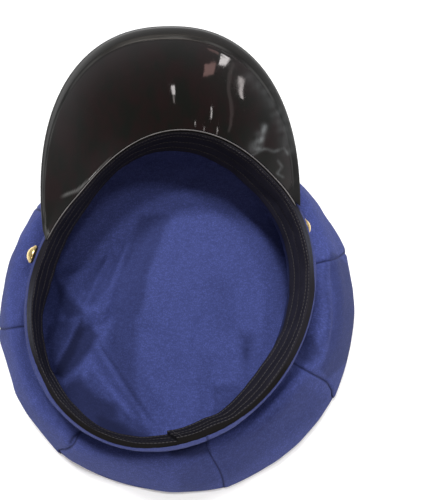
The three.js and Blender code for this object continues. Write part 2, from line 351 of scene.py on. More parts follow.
def rows_around(rows, angle, column):
    """The two rows of a table on either side of some angles, and the share of the way between."""
    starts = np.array([row.angle for row in rows], float)
    values = np.array([getattr(row, column) for row in rows], float)
    turned = starts[0] + (np.asarray(angle, float) - starts[0]) % 360
    index = np.searchsorted(starts, turned, side="right") - 1
    following = (index + 1) % len(rows)
    span = (starts[following] - starts[index]) % 360
    return values[index], values[following], (turned - starts[index]) / span


def at_angle(rows, angle, column):
    """A column of a table at some angles, smoothly between its rows."""
    low, high, share = rows_around(rows, angle, column)
    return blend(low, high, smooth(share))


def crown_radius(angle):
    """The crown's slightly flattened edge between its seams."""
    low, high, share = rows_around(SEAMS, angle, "radius")
    flatness = rows_around(SEAMS, angle, "flatness")[0]
    return blend(low, high, share) - flatness * np.sin(np.pi * share)


def head_point(angle, out, height):
    """A point of the leaning band, so far beyond its outer face."""
    angle = np.asarray(angle, float)
    turned = np.radians(angle - HEAD_LONG_AXIS)
    long, wide = HEAD_LONG / 2, HEAD_WIDE / 2
    oval = long * wide / np.hypot(wide * np.cos(turned), long * np.sin(turned))
    front = FRONT_OUT * near(angle, FRONT_ANGLE, FRONT_SPREAD)
    lean = (RIM_HEIGHT - height) / (RIM_HEIGHT - BAND_BOTTOM)
    point = polar(angle, oval + front + out, height)
    point[..., 0] += HEAD_X + lean * BAND_LEAN_X
    point[..., 1] += HEAD_Y + lean * BAND_LEAN_Y
    return point


def head_point_seen_from_crown(angle, out, height):
    """The same, at angles counted about the crown's middle instead of the head's."""
    head_angle = np.array(angle, float)
    toward = polar(angle, 1, 0)
    for _ in range(SETTLING_TURNS):
        point = head_point(head_angle, out, height)
        off_line = toward[..., 0] * point[..., 1] - toward[..., 1] * point[..., 0]
        head_angle -= np.degrees(off_line / np.hypot(point[..., 0], point[..., 1]))
    return head_point(head_angle, out, height)


def curve_point(points, share):
    """A point of the centripetal Catmull-Rom curves through a row of point arrays."""
    last = len(points) - 1
    index = min(int(share * last), last - 1)
    way = share * last - index
    start, end = points[index], points[index + 1]
    before = points[index - 1] if index else 2 * points[0] - points[1]
    after = points[index + 2] if index + 2 <= last else 2 * points[last] - points[last - 1]

    def step(a, b):
        return np.sqrt(np.linalg.norm(b - a, axis=-1, keepdims=True))

    first, middle, final = step(before, start), step(start, end), step(end, after)
    leaving = (start - before) / first - (end - before) / (first + middle) + (end - start) / middle
    entering = (end - start) / middle - (after - start) / (middle + final) + (after - end) / final
    leaving, entering = leaving * middle, entering * middle
    cubic = 2 * start - 2 * end + leaving + entering
    square = 3 * end - 3 * start - 2 * leaving - entering
    return ((cubic * way + square) * way + leaving) * way + start


def ripple(x, y, length, seed):
    """Smooth waves of about that length over the plane, between about -1 and 1."""
    chance = np.random.default_rng(seed)
    total = np.zeros(np.broadcast(x, y).shape)
    for _ in range(RIPPLE_TURNS):
        heading, phase = chance.uniform(0, 2 * np.pi, 2)
        pace = 2 * np.pi / (length * chance.uniform(*RIPPLE_SPREAD))
        total += np.sin(pace * (x * np.cos(heading) + y * np.sin(heading)) + phase)
    return total / (RIPPLE_TURNS / 2)


def waving(waves, x, y=0):
    """The sum of some waves over the plane, or along a line."""
    return sum(wave.height * ripple(x, y, wave.length, wave.seed) for wave in waves)


def beside(points, x, y):
    """Distance from a line of points, positive on its left, and the share of its length."""
    ends = np.array(points, float)
    legs = np.hypot(*(ends[1:] - ends[:-1]).T)
    nearest = np.full(x.shape, np.inf)
    signed = np.zeros(x.shape)
    along = np.zeros(x.shape)
    run = 0
    for (ax, ay), (bx, by), leg in zip(ends[:-1], ends[1:], legs):
        dx, dy = (bx - ax) / leg, (by - ay) / leg
        way = np.clip((x - ax) * dx + (y - ay) * dy, 0, leg)
        distance = np.hypot(x - ax - way * dx, y - ay - way * dy)
        side = np.where(dx * (y - ay) - dy * (x - ax) >= 0, 1, -1)
        closer = distance < nearest
        nearest = np.where(closer, distance, nearest)
        signed = np.where(closer, distance * side, signed)
        along = np.where(closer, (run + way) / legs.sum(), along)
        run += leg
    return signed, along


def fold_relief(folds, x, y):
    """Height of a set of folds over the plan, and how far each point is darkened by them, in
    painted shade and crushed nap.
    """
    height = np.zeros(x.shape)
    mark = np.zeros(x.shape)
    for fold in folds:
        signed, along = beside(fold.points, x, y)
        far = np.abs(signed) / np.where(signed > 0, fold.left, fold.right)
        crisp = np.clip(1 - far, 0, 1) ** CREST_POWER
        fade = fade_ends(along, 4, 0.15)
        height += fold.height * fade * blend(1 - smooth(far), crisp, fold.crisp)
        is_shaded_side = (signed > 0) == (fold.dusk < 0)
        beside_line = smooth((1 - far) * 2.2) * smooth(np.abs(signed) / PAINTED_SHADE_NEAR + 0.3)
        dusk = abs(fold.dusk) * is_shaded_side * beside_line
        mark = np.maximum(mark, fade * np.maximum(fold.mark * bell(signed, NAP_AND_SHADE_WIDTH), dusk))
    return height, mark


def facet_shade(facets, x, y):
    """How far each point is darkened by the painted shade of the facets over it."""
    total = np.zeros(x.shape)
    for facet in facets:
        ring = facet.points + facet.points[:1]
        away = np.abs(beside(ring, x, y)[0])
        inside = np.zeros(x.shape, bool)
        for (ax, ay), (bx, by) in zip(ring, ring[1:]):
            crossing = ax + (bx - ax) * (y - ay) / (by - ay or 1)
            inside ^= ((ay > y) != (by > y)) & (x < crossing)
        share = smooth(np.where(inside, away, -away) / facet.soft + 0.5)
        total = np.maximum(total, facet.depth * share)
    return total


def darkened(mark, facets, x, y):
    """Marks with the painted shade of facets laid over them."""
    return 1 - (1 - mark) * (1 - facet_shade(facets, x, y))


def facing(grid):
    """Unit normals of a grid of points (station, row, xyz)."""
    normal = np.cross(np.gradient(grid, axis=0), np.gradient(grid, axis=1))
    length = np.linalg.norm(normal, axis=-1, keepdims=True)
    return normal / np.maximum(length, 1e-9)


# ---- Meshes ----

UP = np.array([0, 0, 1])
MERGE_DISTANCE = 1e-7


def wall(outer, inner):
    """Sections of a wall, one a station: its outer face, and its inner face the other way."""
    return np.concatenate([outer, inner[:, ::-1]], axis=1)


def on_wall(values):
    """Values of a wall's outer face, given to both its faces, one for each point."""
    return wall(values, values).reshape(-1, *values.shape[2:])


def loft(sections, is_ring):
    """Points and faces of a closed body through sections of equally many points."""
    stations, size = sections.shape[:2]
    faces = []

    def index(i, j):
        return (i % stations) * size + j % size

    for i in range(stations if is_ring else stations - 1):
        for j in range(size):
            faces.append((index(i, j), index(i + 1, j), index(i + 1, j + 1), index(i, j + 1)))
    if not is_ring:
        last = stations - 1
        for j in range(size // 2 - 1):
            across = size - 1 - j
            cap = (j, j + 1, across - 1, across)
            faces.append([index(0, place) for place in cap])
            faces.append([index(last, place) for place in reversed(cap)])
    return sections.reshape(-1, 3), faces


def add_object(name, data):
    """A new object in the scene."""
    made = bpy.data.objects.new(name, data)
    bpy.context.scene.collection.objects.link(made)
    return made


def dress(name, mesh, stands_for=()):
    """Makes a mesh a piece of the cap, in place of some of its solids."""
    piece = add_object(name, mesh)
    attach(piece, "root")
    if stands_for:
        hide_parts(*stands_for)
    return piece


def make_piece(name, points, faces, finish, stands_for=(), marks=None, sharp=50):
    """A finished piece from points in millimetres. Marks are named values for each point."""
    mesh = bpy.data.meshes.new(name)
    mesh.from_pydata((np.asarray(points) * MM).tolist(), [], faces)
    for mark, values in (marks or {}).items():
        values = np.asarray(values, np.float32)
        kind, field = ("FLOAT", "value") if values.ndim == 1 else ("FLOAT_VECTOR", "vector")
        mesh.attributes.new(mark, kind, "POINT").data.foreach_set(field, values.ravel())
    form = bmesh.new()
    form.from_mesh(mesh)
    bmesh.ops.remove_doubles(form, verts=form.verts, dist=MERGE_DISTANCE)
    bmesh.ops.dissolve_degenerate(form, edges=form.edges, dist=MERGE_DISTANCE)
    bmesh.ops.recalc_face_normals(form, faces=form.faces)
    if form.calc_volume(signed=True) < 0:
        bmesh.ops.reverse_faces(form, faces=form.faces)
    form.to_mesh(mesh)
    form.free()
    mesh.shade_smooth()
    mesh.set_sharp_from_angle(angle=math.radians(sharp))
    mesh.materials.append(finish)
    return dress(name, mesh, stands_for)


# ---- Finishes ----

OBJECT_OUTPUT = 3  # of the texture coordinates
VECTOR_OUTPUT = 1  # of an attribute
VALUE_OUTPUT = 2

# Noises: their repeats in a metre, octaves and roughness, and how they are drawn out.
Grain = namedtuple("Grain", "scale detail roughness stretch", defaults=[None])
YARN = Grain(1300, 3.0, 0.6, (1, 0.75, 1))
SLUB = Grain(520, 3.0, 0.65, (0.6, 1, 1))
CLOTH_CLOUD = Grain(28, 3.0, 0.55)
DUST = Grain(55, 4.0, 0.6)
VINYL_GRAIN = Grain(900, 2.0, 0.6)
PEAK_WAVES = Grain(62, 2.0, 0.5, (1, 0.55, 1))
PEAK_CLOUD = Grain(24, 3.0, 0.6)
PEAK_TINTS = Grain(75, 3.0, 0.6, (1, 0.4, 1))
HAIR_SCRATCHES = Grain(700, 2.0, 0.7, (1, 0.06, 1))
TARNISH = Grain(420, 4.0, 0.65)
HANDLING = Grain(1600, 2.0, 0.6, (1, 1, 0.15))
THREAD_TWIST = Grain(2600, 2.0, 0.6)
FLOOR_CLOUD = Grain(3, 3.0, 0.5)
PEBBLE_SCALE = 1100
TWILL_PITCH = 0.0011  # metres from one slanting rib to the next
TWILL_SLANT = 1.6

# Depths of the reliefs in metres.
WEAVE_DEPTH = 0.00022
CLOUD_DEPTH = 0.0012
PEBBLE_DEPTH = 0.00018
VINYL_GRAIN_DEPTH = 0.00012
PEAK_WAVE_DEPTH = 0.0009
SCRATCH_DEPTH = 0.00004
HANDLING_DEPTH = 0.00003
TWIST_DEPTH = 0.00008

NAP_SHEEN = (0.45, 0.5, 0.9, 1.0)
FOLD_GREY = (0.050, 0.053, 0.066, 1.0)
HAZE_GREY = (0.05, 0.05, 0.052, 1.0)
SMUDGE_GREY = (0.27, 0.29, 0.30, 1.0)
PEAK_ROUGHNESS = 0.03


class Wire:
    """A socket of a node tree, for sums that read like sums."""

    def __init__(self, bench, socket):
        self.bench = bench
        self.socket = socket

    def reckon(self, operation, *values):
        sockets = dict(enumerate(values))
        return self.bench.node("ShaderNodeMath", {"operation": operation}, sockets)[0]

    def __add__(self, other):
        return self.reckon("ADD", self, other)

    def __sub__(self, other):
        return self.reckon("SUBTRACT", self, other)

    def __rsub__(self, other):
        return self.reckon("SUBTRACT", other, self)

    def __mul__(self, other):
        return self.reckon("MULTIPLY", self, other)

    def sine(self):
        return self.reckon("SINE", self)

    def clamp(self):
        return self.reckon("MINIMUM", self.reckon("MAXIMUM", self, 0.0), 1.0)

    __radd__ = __add__
    __rmul__ = __mul__


class Bench:
    """Where the nodes of one tree are put together."""

    def __init__(self, tree):
        self.tree = tree
        tree.nodes.clear()

    def node(self, kind, options=None, sockets=None):
        """Adds a node, its options first, and gives its outputs as wires."""
        node = self.tree.nodes.new(kind)
        for option, value in (options or {}).items():
            if option == "stops":
                self.set_stops(node.color_ramp, value)
            else:
                setattr(node, option, value)
        for key, value in (sockets or {}).items():
            socket = self.find(node.inputs, key)
            if isinstance(value, Wire):
                self.tree.links.new(value.socket, socket)
            else:
                socket.default_value = value
        return [Wire(self, socket) for socket in node.outputs if socket.enabled]

    @staticmethod
    def find(sockets, key):
        if isinstance(key, int):
            return sockets[key]
        by_identifier = {socket.identifier: socket for socket in sockets}
        return by_identifier.get(key) or sockets[key]

    @staticmethod
    def set_stops(ramp, stops):
        while len(ramp.elements) < len(stops):
            ramp.elements.new(0.5)
        for element, (place, colour) in zip(ramp.elements, stops):
            element.position = place
            element.color = colour


class FinishBench(Bench):
    """A bench for one material, with the nodes that finishes share."""

    def __init__(self, name):
        self.material = bpy.data.materials.new(name)
        self.material.use_nodes = True
        super().__init__(self.material.node_tree)

    def place(self):
        return self.node("ShaderNodeTexCoord")[OBJECT_OUTPUT]

    def mark(self, name, output=VALUE_OUTPUT):
        return self.node("ShaderNodeAttribute", {"attribute_name": name})[output]

    def noise(self, place, grain):
        if grain.stretch:
            stretched = {"Vector": place, "Scale": grain.stretch}
            place = self.node("ShaderNodeMapping", None, stretched)[0]
        sockets = {
            "Vector": place,
            "Scale": grain.scale,
            "Detail": grain.detail,
            "Roughness": grain.roughness,
        }
        return self.node("ShaderNodeTexNoise", None, sockets)[0]

    def split(self, place):
        return self.node("ShaderNodeSeparateXYZ", None, {"Vector": place})

    def step(self, value, low, high):
        """0 below low, 1 above high, and a soft change between."""
        sockets = {"Value": value, "From Min": low, "From Max": high}
        return self.node("ShaderNodeMapRange", {"interpolation_type": "SMOOTHSTEP"}, sockets)[0]

    def mix(self, share, low, high):
        sockets = {"Factor_Float": share, "A_Color": low, "B_Color": high}
        return self.node("ShaderNodeMix", {"data_type": "RGBA"}, sockets)[0]

    def bump(self, height, depth, normal=None, strength=1.0):
        sockets = {"Height": height, "Distance": depth, "Strength": strength}
        if normal:
            sockets["Normal"] = normal
        return self.node("ShaderNodeBump", None, sockets)[0]

    def finish(self, sockets):
        shader = self.node("ShaderNodeBsdfPrincipled", None, sockets)[0]
        self.node("ShaderNodeOutputMaterial", None, {"Surface": shader})
        return self.material


def shade(colour, factor):
    """A colour made darker or lighter, for a socket."""
    return tuple(part * factor for part in colour[:3]) + (1.0,)


def full(colour):
    """A colour for a socket."""
    return tuple(colour[:3]) + (1.0,)


def cloth_finish(name, colour, worn):
    """Close wool cloth: a fine slanting weave, uneven yarn, soft nap and worn lighter edges."""
    bench = FinishBench(name)
    place = bench.mark("cloth_way", VECTOR_OUTPUT)
    across, along = bench.split(place)[:2]
    yarn = bench.noise(place, YARN)
    slub = bench.noise(place, SLUB)
    cloud = bench.noise(place, CLOTH_CLOUD)
    twill = ((across + along * TWILL_SLANT) * (2 * math.pi / TWILL_PITCH) + yarn * 3.0).sine()
    fold = bench.mark("fold")
    wear = bench.mark("wear")
    uneven = (cloud * 0.55 + slub * 0.45 - 0.22).clamp()
    body = bench.mix(uneven, shade(colour, 0.74), shade(colour, 1.26))
    fleck = bench.step(yarn + slub * 0.4, 0.62, 0.92) * 0.55
    flecked = bench.mix(fleck, body, shade(colour, 1.75))
    # Painted shade: the fold mark darkens the cloth towards near black, in place of shadow in
    # creases, beside folds, on facets and below the band's bead.
    deep = bench.mix((fold * 0.92).clamp(), flecked, shade(colour, 0.2))
    rubbed = bench.mix((wear * (0.45 + yarn * 0.7)).clamp(), deep, full(worn))
    weave = bench.bump(twill * 0.35 + yarn + slub * 0.8, WEAVE_DEPTH)
    return bench.finish({
        "Base Color": rubbed,
        "Roughness": 0.93 - wear * 0.12 - slub * 0.08,
        "Normal": bench.bump(cloud, CLOUD_DEPTH, weave, 0.6),
        "Sheen Weight": 0.04,
        "Sheen Roughness": 0.45,
        "Sheen Tint": NAP_SHEEN,
        "Specular IOR Level": 0.12,
    })


def vinyl_finish(name, colour, tape):
    """Black coated sweatband: pebbled grain, a dull grey tape, dust in the stitched channels."""
    bench = FinishBench(name)
    place = bench.place()
    cells = {"Vector": place, "Scale": PEBBLE_SCALE}
    pebbles = bench.node("ShaderNodeTexVoronoi", {"feature": "SMOOTH_F1"}, cells)[0]
    dust = bench.noise(place, DUST)
    fine = bench.noise(place, VINYL_GRAIN)
    taped = bench.mark("tape")
    channel = bench.mark("channel")
    rubbed = bench.mark("wear")
    base = bench.mix((dust * 1.3 - 0.25).clamp(), shade(colour, 0.7), shade(colour, 1.7))
    taped_base = bench.mix((taped * (0.35 + dust * 0.8)).clamp(), base, full(tape))
    dusty = bench.mix((channel * (dust * 0.8)).clamp(), taped_base, shade(tape, 5.2))
    greyed = bench.mix((rubbed * (0.3 + fine * 0.9)).clamp(), dusty, FOLD_GREY)
    pebble = bench.bump(pebbles, PEBBLE_DEPTH, None, 0.7)
    return bench.finish({
        "Base Color": greyed,
        "Roughness": 0.68 + taped * 0.08 + dust * 0.12,
        "Normal": bench.bump(fine, VINYL_GRAIN_DEPTH, pebble, 0.7),
        "Specular IOR Level": 0.08,
    })


def peak_finish(name, colour, rubbed):
    """Glossy moulded plastic: long soft waves, hair scratches, grey haze and a rubbed lip."""
    bench = FinishBench(name)
    place = bench.place()
    waves = bench.noise(place, PEAK_WAVES)
    cloud = bench.noise(place, PEAK_CLOUD)
    hairs = bench.noise(place, HAIR_SCRATCHES)
    lip = bench.mark("lip")
    haze = bench.mark("haze")
    smudge = bench.mark("smudge")
    rub = bench.mark("wear")
    hair_mask = bench.step(hairs, 0.66, 0.78)
    tints = bench.noise(place, PEAK_TINTS)
    ruddy = (colour[0] * 1.35, colour[1] * 0.95, colour[2] * 0.9, 1.0)
    mossy = (colour[0] * 0.8, colour[1] * 1.05, colour[2] * 0.85, 1.0)
    base = bench.mix(bench.step(tints, 0.35, 0.65), mossy, ruddy)
    hazed = bench.mix((haze * (0.6 + cloud * 0.8)).clamp(), base, HAZE_GREY)
    lipped = bench.mix((lip * (0.7 + cloud * 0.5)).clamp(), hazed, full(rubbed))
    smudged = bench.mix((smudge * (0.4 + hairs * 0.9)).clamp(), lipped, SMUDGE_GREY)
    edged = bench.mix(rub.clamp(), smudged, shade(rubbed, 26.0))
    dulled = lip * 0.36 + haze * 0.05 + hair_mask * 0.04 + smudge * 0.25 + rub * 0.3
    wavy = bench.bump(waves, PEAK_WAVE_DEPTH, None, 0.08)
    return bench.finish({
        "Base Color": edged,
        "Roughness": (PEAK_ROUGHNESS + dulled).clamp(),
        "Normal": bench.bump(hairs * hair_mask, SCRATCH_DEPTH, wavy, 0.3),
        "IOR": 1.46,
        "Coat Roughness": PEAK_ROUGHNESS,
        "Coat Weight": (1 - lip.clamp()) * 0.22,
    })


def brass_finish(name, colour):
    """Polished brass: bright where it is raised, brown in the hollows, with fine handling marks."""
    bench = FinishBench(name)
    place = bench.place()
    tarnish = bench.noise(place, TARNISH)
    marks = bench.noise(place, HANDLING)
    hollow = bench.mark("hollow")
    base = bench.mix(bench.step(tarnish, 0.42, 0.75) * 0.4, full(colour), shade(colour, 0.5))
    aged = bench.mix((hollow * 0.85).clamp(), base, shade(colour, 0.16))
    return bench.finish({
        "Base Color": aged,
        "Metallic": 1.0,
        "Roughness": (0.16 + tarnish * 0.16 + hollow * 0.25).clamp(),
        "Normal": bench.bump(marks, HANDLING_DEPTH, None, 0.5),
    })


def thread_finish(name, colour):
    """Twisted sewing thread."""
    bench = FinishBench(name)
    twist = bench.noise(bench.place(), THREAD_TWIST)
    tone = bench.mix(twist, shade(colour, 0.6), shade(colour, 1.4))
    normal = bench.bump(twist, TWIST_DEPTH)
    return bench.finish({"Base Color": tone, "Roughness": 0.7, "Normal": normal})


def floor_finish(name, colour):
    """A pale floor, a little uneven, that the light seems to fill."""
    bench = FinishBench(name)
    cloud = bench.noise(bench.place(), FLOOR_CLOUD)
    tone = bench.mix(cloud, shade(colour, 0.985), full(colour))
    return bench.finish({
        "Base Color": tone,
        "Roughness": 0.6,
        "Specular IOR Level": 0.2,
        "Emission Color": full(colour),
        "Emission Strength": 0.16,
    })


# ---- What a user may change ----


class CapSizes(bpy.types.PropertyGroup):
    """Sizes of the cap's finer forms."""

    seam_depth: FloatProperty(
        name="Seam Depth", description="How deep the crown's seams are drawn in",
        default=0.0008, unit="LENGTH")
    slack: FloatProperty(
        name="Cloth Slack", description="How far loose cloth waves in and out",
        default=0.0007, unit="LENGTH")
    bead: FloatProperty(
        name="Rim Bead", description="Radius of the rolled bead on the rim",
        default=0.0009, unit="LENGTH")
    lip_width: FloatProperty(
        name="Lip Width", description="Width of the raised lip along the peak",
        default=0.0065, unit="LENGTH")
    lip_height: FloatProperty(
        name="Lip Height", description="How far the lip stands above the peak",
        default=0.0006, unit="LENGTH")
    stitch_pitch: FloatProperty(
        name="Stitch Pitch", description="Distance from one stitch to the next",
        default=0.0022, unit="LENGTH")
    stitch_length: FloatProperty(
        name="Stitch Length", description="Length of the thread that shows",
        default=0.0018, unit="LENGTH")
    thread: FloatProperty(
        name="Thread Radius", description="Radius of the sewing thread",
        default=0.00022, unit="LENGTH")
    button_steps: IntProperty(
        name="Button Steps", description="Points around a button", default=96, min=24)


class CapColours(bpy.types.PropertyGroup):
    """Colours of the cap's finishes."""

    cloth: FloatVectorProperty(
        name="Cloth", description="Colour of the wool cloth",
        subtype="COLOR", default=(0.059, 0.076, 0.246))
    worn_cloth: FloatVectorProperty(
        name="Worn Cloth", description="Where edges are rubbed",
        subtype="COLOR", default=(0.062, 0.072, 0.185))
    # Painted reflected light: the sweatband colour is lighter and bluer than black vinyl, for the
    # crown's blue light on its sides.
    vinyl: FloatVectorProperty(
        name="Sweatband", description="Colour of the coated band",
        subtype="COLOR", default=(0.0235, 0.0222, 0.0330))
    tape: FloatVectorProperty(
        name="Tape", description="Colour of the folded tape",
        subtype="COLOR", default=(0.0065, 0.0058, 0.0058))
    peak: FloatVectorProperty(
        name="Peak", description="Colour of the moulded peak",
        subtype="COLOR", default=(0.0095, 0.0078, 0.0082))
    rubbed_peak: FloatVectorProperty(
        name="Peak Lip", description="Colour of the rubbed lip",
        subtype="COLOR", default=(0.007, 0.007, 0.0069))
    brass: FloatVectorProperty(
        name="Brass", description="Colour of the buttons",
        subtype="COLOR", default=(0.93, 0.70, 0.31))
    thread: FloatVectorProperty(
        name="Thread", description="Colour of the stitches",
        subtype="COLOR", default=(0.052, 0.048, 0.05))
    floor: FloatVectorProperty(
        name="Floor", description="Colour of the floor",
        subtype="COLOR", default=(0.93, 0.93, 0.93))


class StageSettings(bpy.types.PropertyGroup):
    """Light and camera."""

    key_power: FloatProperty(
        name="Key Light", description="Power of each soft lamp", default=10.8, unit="POWER")
    sky: FloatProperty(name="Sky", description="Brightness of the surroundings", default=0.40)
    lens: FloatProperty(
        name="Lens", description="Focal length of the camera in millimetres", default=48.0)


def settings():
    """The sizes, the colours and the stage that a user may change."""
    scene = bpy.context.scene
    return scene.cap_sizes, scene.cap_colours, scene.cap_stage


def shared_finish(name, maker, *colours):
    """Makes a finish once and gives the same one to every piece that asks for it."""
    return bpy.data.materials.get(name) or maker(name, *colours)


def crown_cloth():
    colours = settings()[1]
    return shared_finish("crown_wool", cloth_finish, colours.cloth, colours.worn_cloth)


# ---- Crown ----

CROWN_STATIONS = 340
CROWN_ROWS = 84
FLOOR_LIFT = 0.9  # how far the creased cloth stays off the floor before its folds
PRESSED_BELOW = 0.4  # lower valleys are pressed flat towards the floor
PRESSED_OVER = 0.9
CREASED_RADIUS = 104  # the creases fade out beyond it
CREASED_FADE = 16


def crown_height(x, y):
    """Height of the crown top's cloth over the floor, and its darkening by painted shade and
    crushed nap.
    """
    height, mark = fold_relief(CROWN_FOLDS, x, y)
    height = height + FLOOR_LIFT + waving(CROWN_WAVES, x, y)
    pressed = PRESSED_BELOW * np.exp((height - PRESSED_BELOW) / PRESSED_OVER)
    height = np.where(height > PRESSED_BELOW, height, pressed)
    inside = 1 - smooth((np.hypot(x, y) - CREASED_RADIUS) / CREASED_FADE)
    return height * inside, darkened(mark, CROWN_FACETS, x, y) * inside


class PEAKED_CAP_OT_crown_top(bpy.types.Operator):
    """Makes the creased cloth disc that the cap lies on"""

    bl_idname = "peaked_cap.crown_top"
    bl_label = "Crown Top"
    bl_options = {"REGISTER", "UNDO"}

    def execute(self, context):
        angles = np.linspace(0, 360, CROWN_STATIONS, endpoint=False)[:, None]
        share = np.linspace(0, 1, CROWN_ROWS)[None, :]
        flat = polar(angles, crown_radius(angles) * share, 0)
        height, mark = crown_height(flat[..., 0], flat[..., 1])
        lower = flat + height[..., None] * UP
        points, faces = loft(wall(lower, lower + CLOTH * UP), True)
        # The fold mark is painted shade of the creases and facets, with some crushed nap.
        marks = {"cloth_way": points * MM, "fold": on_wall(mark), "wear": np.zeros(len(points))}
        make_piece(
            "crown_top_cloth", points, faces, crown_cloth(), ["crown_top"], marks)
        return {"FINISHED"}


PANEL_STATIONS = 110
PANEL_ROWS = 64
PANEL_RISE = 62  # length of a panel's cloth from the crown's edge to the band
STATION_CROWDING = 0.35  # how far the stations gather towards the seams
SEAM_SLIT = 0.04  # two sewn edges all but touch
SEAM_DITCH_WIDTH = 1.3
PUCKER_DEPTH = 0.32
PUCKER_PACE = 0.75
PUCKER_REACH = 7
NOTCH_SHARE = 0.9  # how much of a seam's notch shows as a step
NOTCH_REACH = 9
SEAM_TAUT = 6  # the cloth is held flat this close to a seam
SEAM_MARK = 0.9
SEAM_MARK_WIDTH = 0.7


def seam_wander(seam, share):
    """How many degrees a seam strays from its straight way up the panel."""
    return seam.wander * np.sin(share * 9 + seam.angle) * np.sin(np.pi * np.clip(share, 0, 1))


def panel_form(seam, next_seam, share, rows):
    """The smooth outer face of one side panel, and its inner face's foot and join."""
    span, roll_span = (
        (getattr(next_seam, way) - getattr(seam, way)) % 360 for way in ("angle", "roll_angle"))
    edge_angle = seam.angle + span * share
    roll_angle = seam.roll_angle + roll_span * share
    foot_radius = crown_radius(edge_angle)
    roll_radius, roll_height = (at_angle(ROLLS, roll_angle, way) for way in ("radius", "height"))
    low = polar(edge_angle, foot_radius + EDGE_ROLL_OUT, EDGE_ROLL_HEIGHT)
    roll = polar(roll_angle, roll_radius, roll_height)
    line = [
        polar(edge_angle, foot_radius, CLOTH + GAP),
        low,
        blend(low, roll, 0.5) + polar(edge_angle, SLOPE_OUT, SLOPE_UP),
        roll,
        head_point_seen_from_crown(roll_angle, GAP, PANEL_JOIN),
    ]
    outer = np.stack([curve_point(line, row) for row in rows], 1)
    turn = np.radians(blend(seam_wander(seam, rows), seam_wander(next_seam, rows), share[:, None]))
    x, y, height = np.moveaxis(outer, -1, 0)
    turned = x * np.cos(turn) - y * np.sin(turn), x * np.sin(turn) + y * np.cos(turn), height
    foot = polar(edge_angle, foot_radius - CLOTH, CLOTH + GAP)
    join = head_point_seen_from_crown(roll_angle, GAP, PANEL_JOIN - CLOTH)
    return np.stack(turned, -1), foot, join


def panel_lift(seam, proud, rows, from_seam, loose, sizes):
    """How far a panel's cloth is drawn in or stands out from its smooth form."""
    own = np.abs(proud)
    free = np.sin(np.pi * rows) ** 0.5
    depth = sizes.seam_depth / MM * (0.8 + 0.5 * own)
    ditch = depth * bell(from_seam, SEAM_DITCH_WIDTH) * free
    waves = np.sin(rows * PANEL_RISE * PUCKER_PACE + seam.angle)
    pucker = PUCKER_DEPTH * own * waves * np.exp(-from_seam / PUCKER_REACH) * free
    near_edge = (1 - smooth(rows / 0.55)) * smooth(rows / 0.04)
    step = NOTCH_SHARE * proud * np.exp(-from_seam / NOTCH_REACH) * near_edge
    slack = smooth(rows / 0.4) * smooth((1 - rows) / 0.1) * smooth(from_seam / SEAM_TAUT + 0.35)
    lift = pucker + step - ditch + loose * slack
    lift[:, [0, -1]] = 0
    return lift


def panel_faces(seam, next_seam, sizes):
    """The outer and inner grids of one side panel, its darkening by painted shade, crushed nap and
    seam lines, and its cloth's way.
    """
    span = math.radians((next_seam.angle - seam.angle) % 360)
    trim = SEAM_SLIT / 2 / (seam.radius * span)
    across = np.linspace(0, 1, PANEL_STATIONS)
    share = blend(trim, 1 - trim, blend(across, smooth(across), STATION_CROWDING))
    rows = np.linspace(0, 1, PANEL_ROWS)
    outer, foot, join = panel_form(seam, next_seam, share, rows)
    normal = facing(outer)
    if (normal * outer).sum() < 0:
        normal = -normal
    x, y = outer[..., 0], outer[..., 1]
    width = np.hypot(x, y) * span
    share = share[:, None]
    from_seam = np.minimum(share, 1 - share) * width
    proud = np.where(share < 0.5, seam.notch, -next_seam.notch)
    folds, mark = fold_relief(PANEL_FOLDS, x, y)
    loose = folds + sizes.slack / MM * waving(PANEL_WAVES, x, y)
    lift = panel_lift(seam, proud, rows, from_seam, loose, sizes)
    outer = outer + normal * lift[..., None]
    inner = outer - normal * CLOTH
    inner[:, 0] = foot
    inner[:, -1] = join
    mark = darkened(mark, PANEL_FACETS, outer[..., 0], outer[..., 1])
    mark = np.maximum(mark, SEAM_MARK * bell(from_seam, SEAM_MARK_WIDTH))
    way = np.stack(np.broadcast_arrays(share * width, rows * PANEL_RISE, 0), -1)
    return outer, inner, mark, way


class PEAKED_CAP_OT_crown_panels(bpy.types.Operator):
    """Makes the eight sewn side panels that rise from the crown top to the band"""

    bl_idname = "peaked_cap.crown_panels"
    bl_label = "Crown Panels"
    bl_options = {"REGISTER", "UNDO"}

    def execute(self, context):
        sizes = settings()[0]
        for number, seam in enumerate(SEAMS, 1):
            outer, inner, mark, way = panel_faces(seam, SEAMS[number % len(SEAMS)], sizes)
            points, faces = loft(wall(outer, inner), False)
            # The fold mark is painted shade of the folds and facets, with crushed nap and seam
            # lines.
            marks = {
                "cloth_way": on_wall(way) * MM,
                "fold": on_wall(mark),
                "wear": np.zeros(len(points)),
            }
            make_piece(
                f"crown_panel_cloth_{number}", points, faces, crown_cloth(),
                [f"crown_panel_{number}"], marks)
        return {"FINISHED"}


# ---- Band and sweatband ----

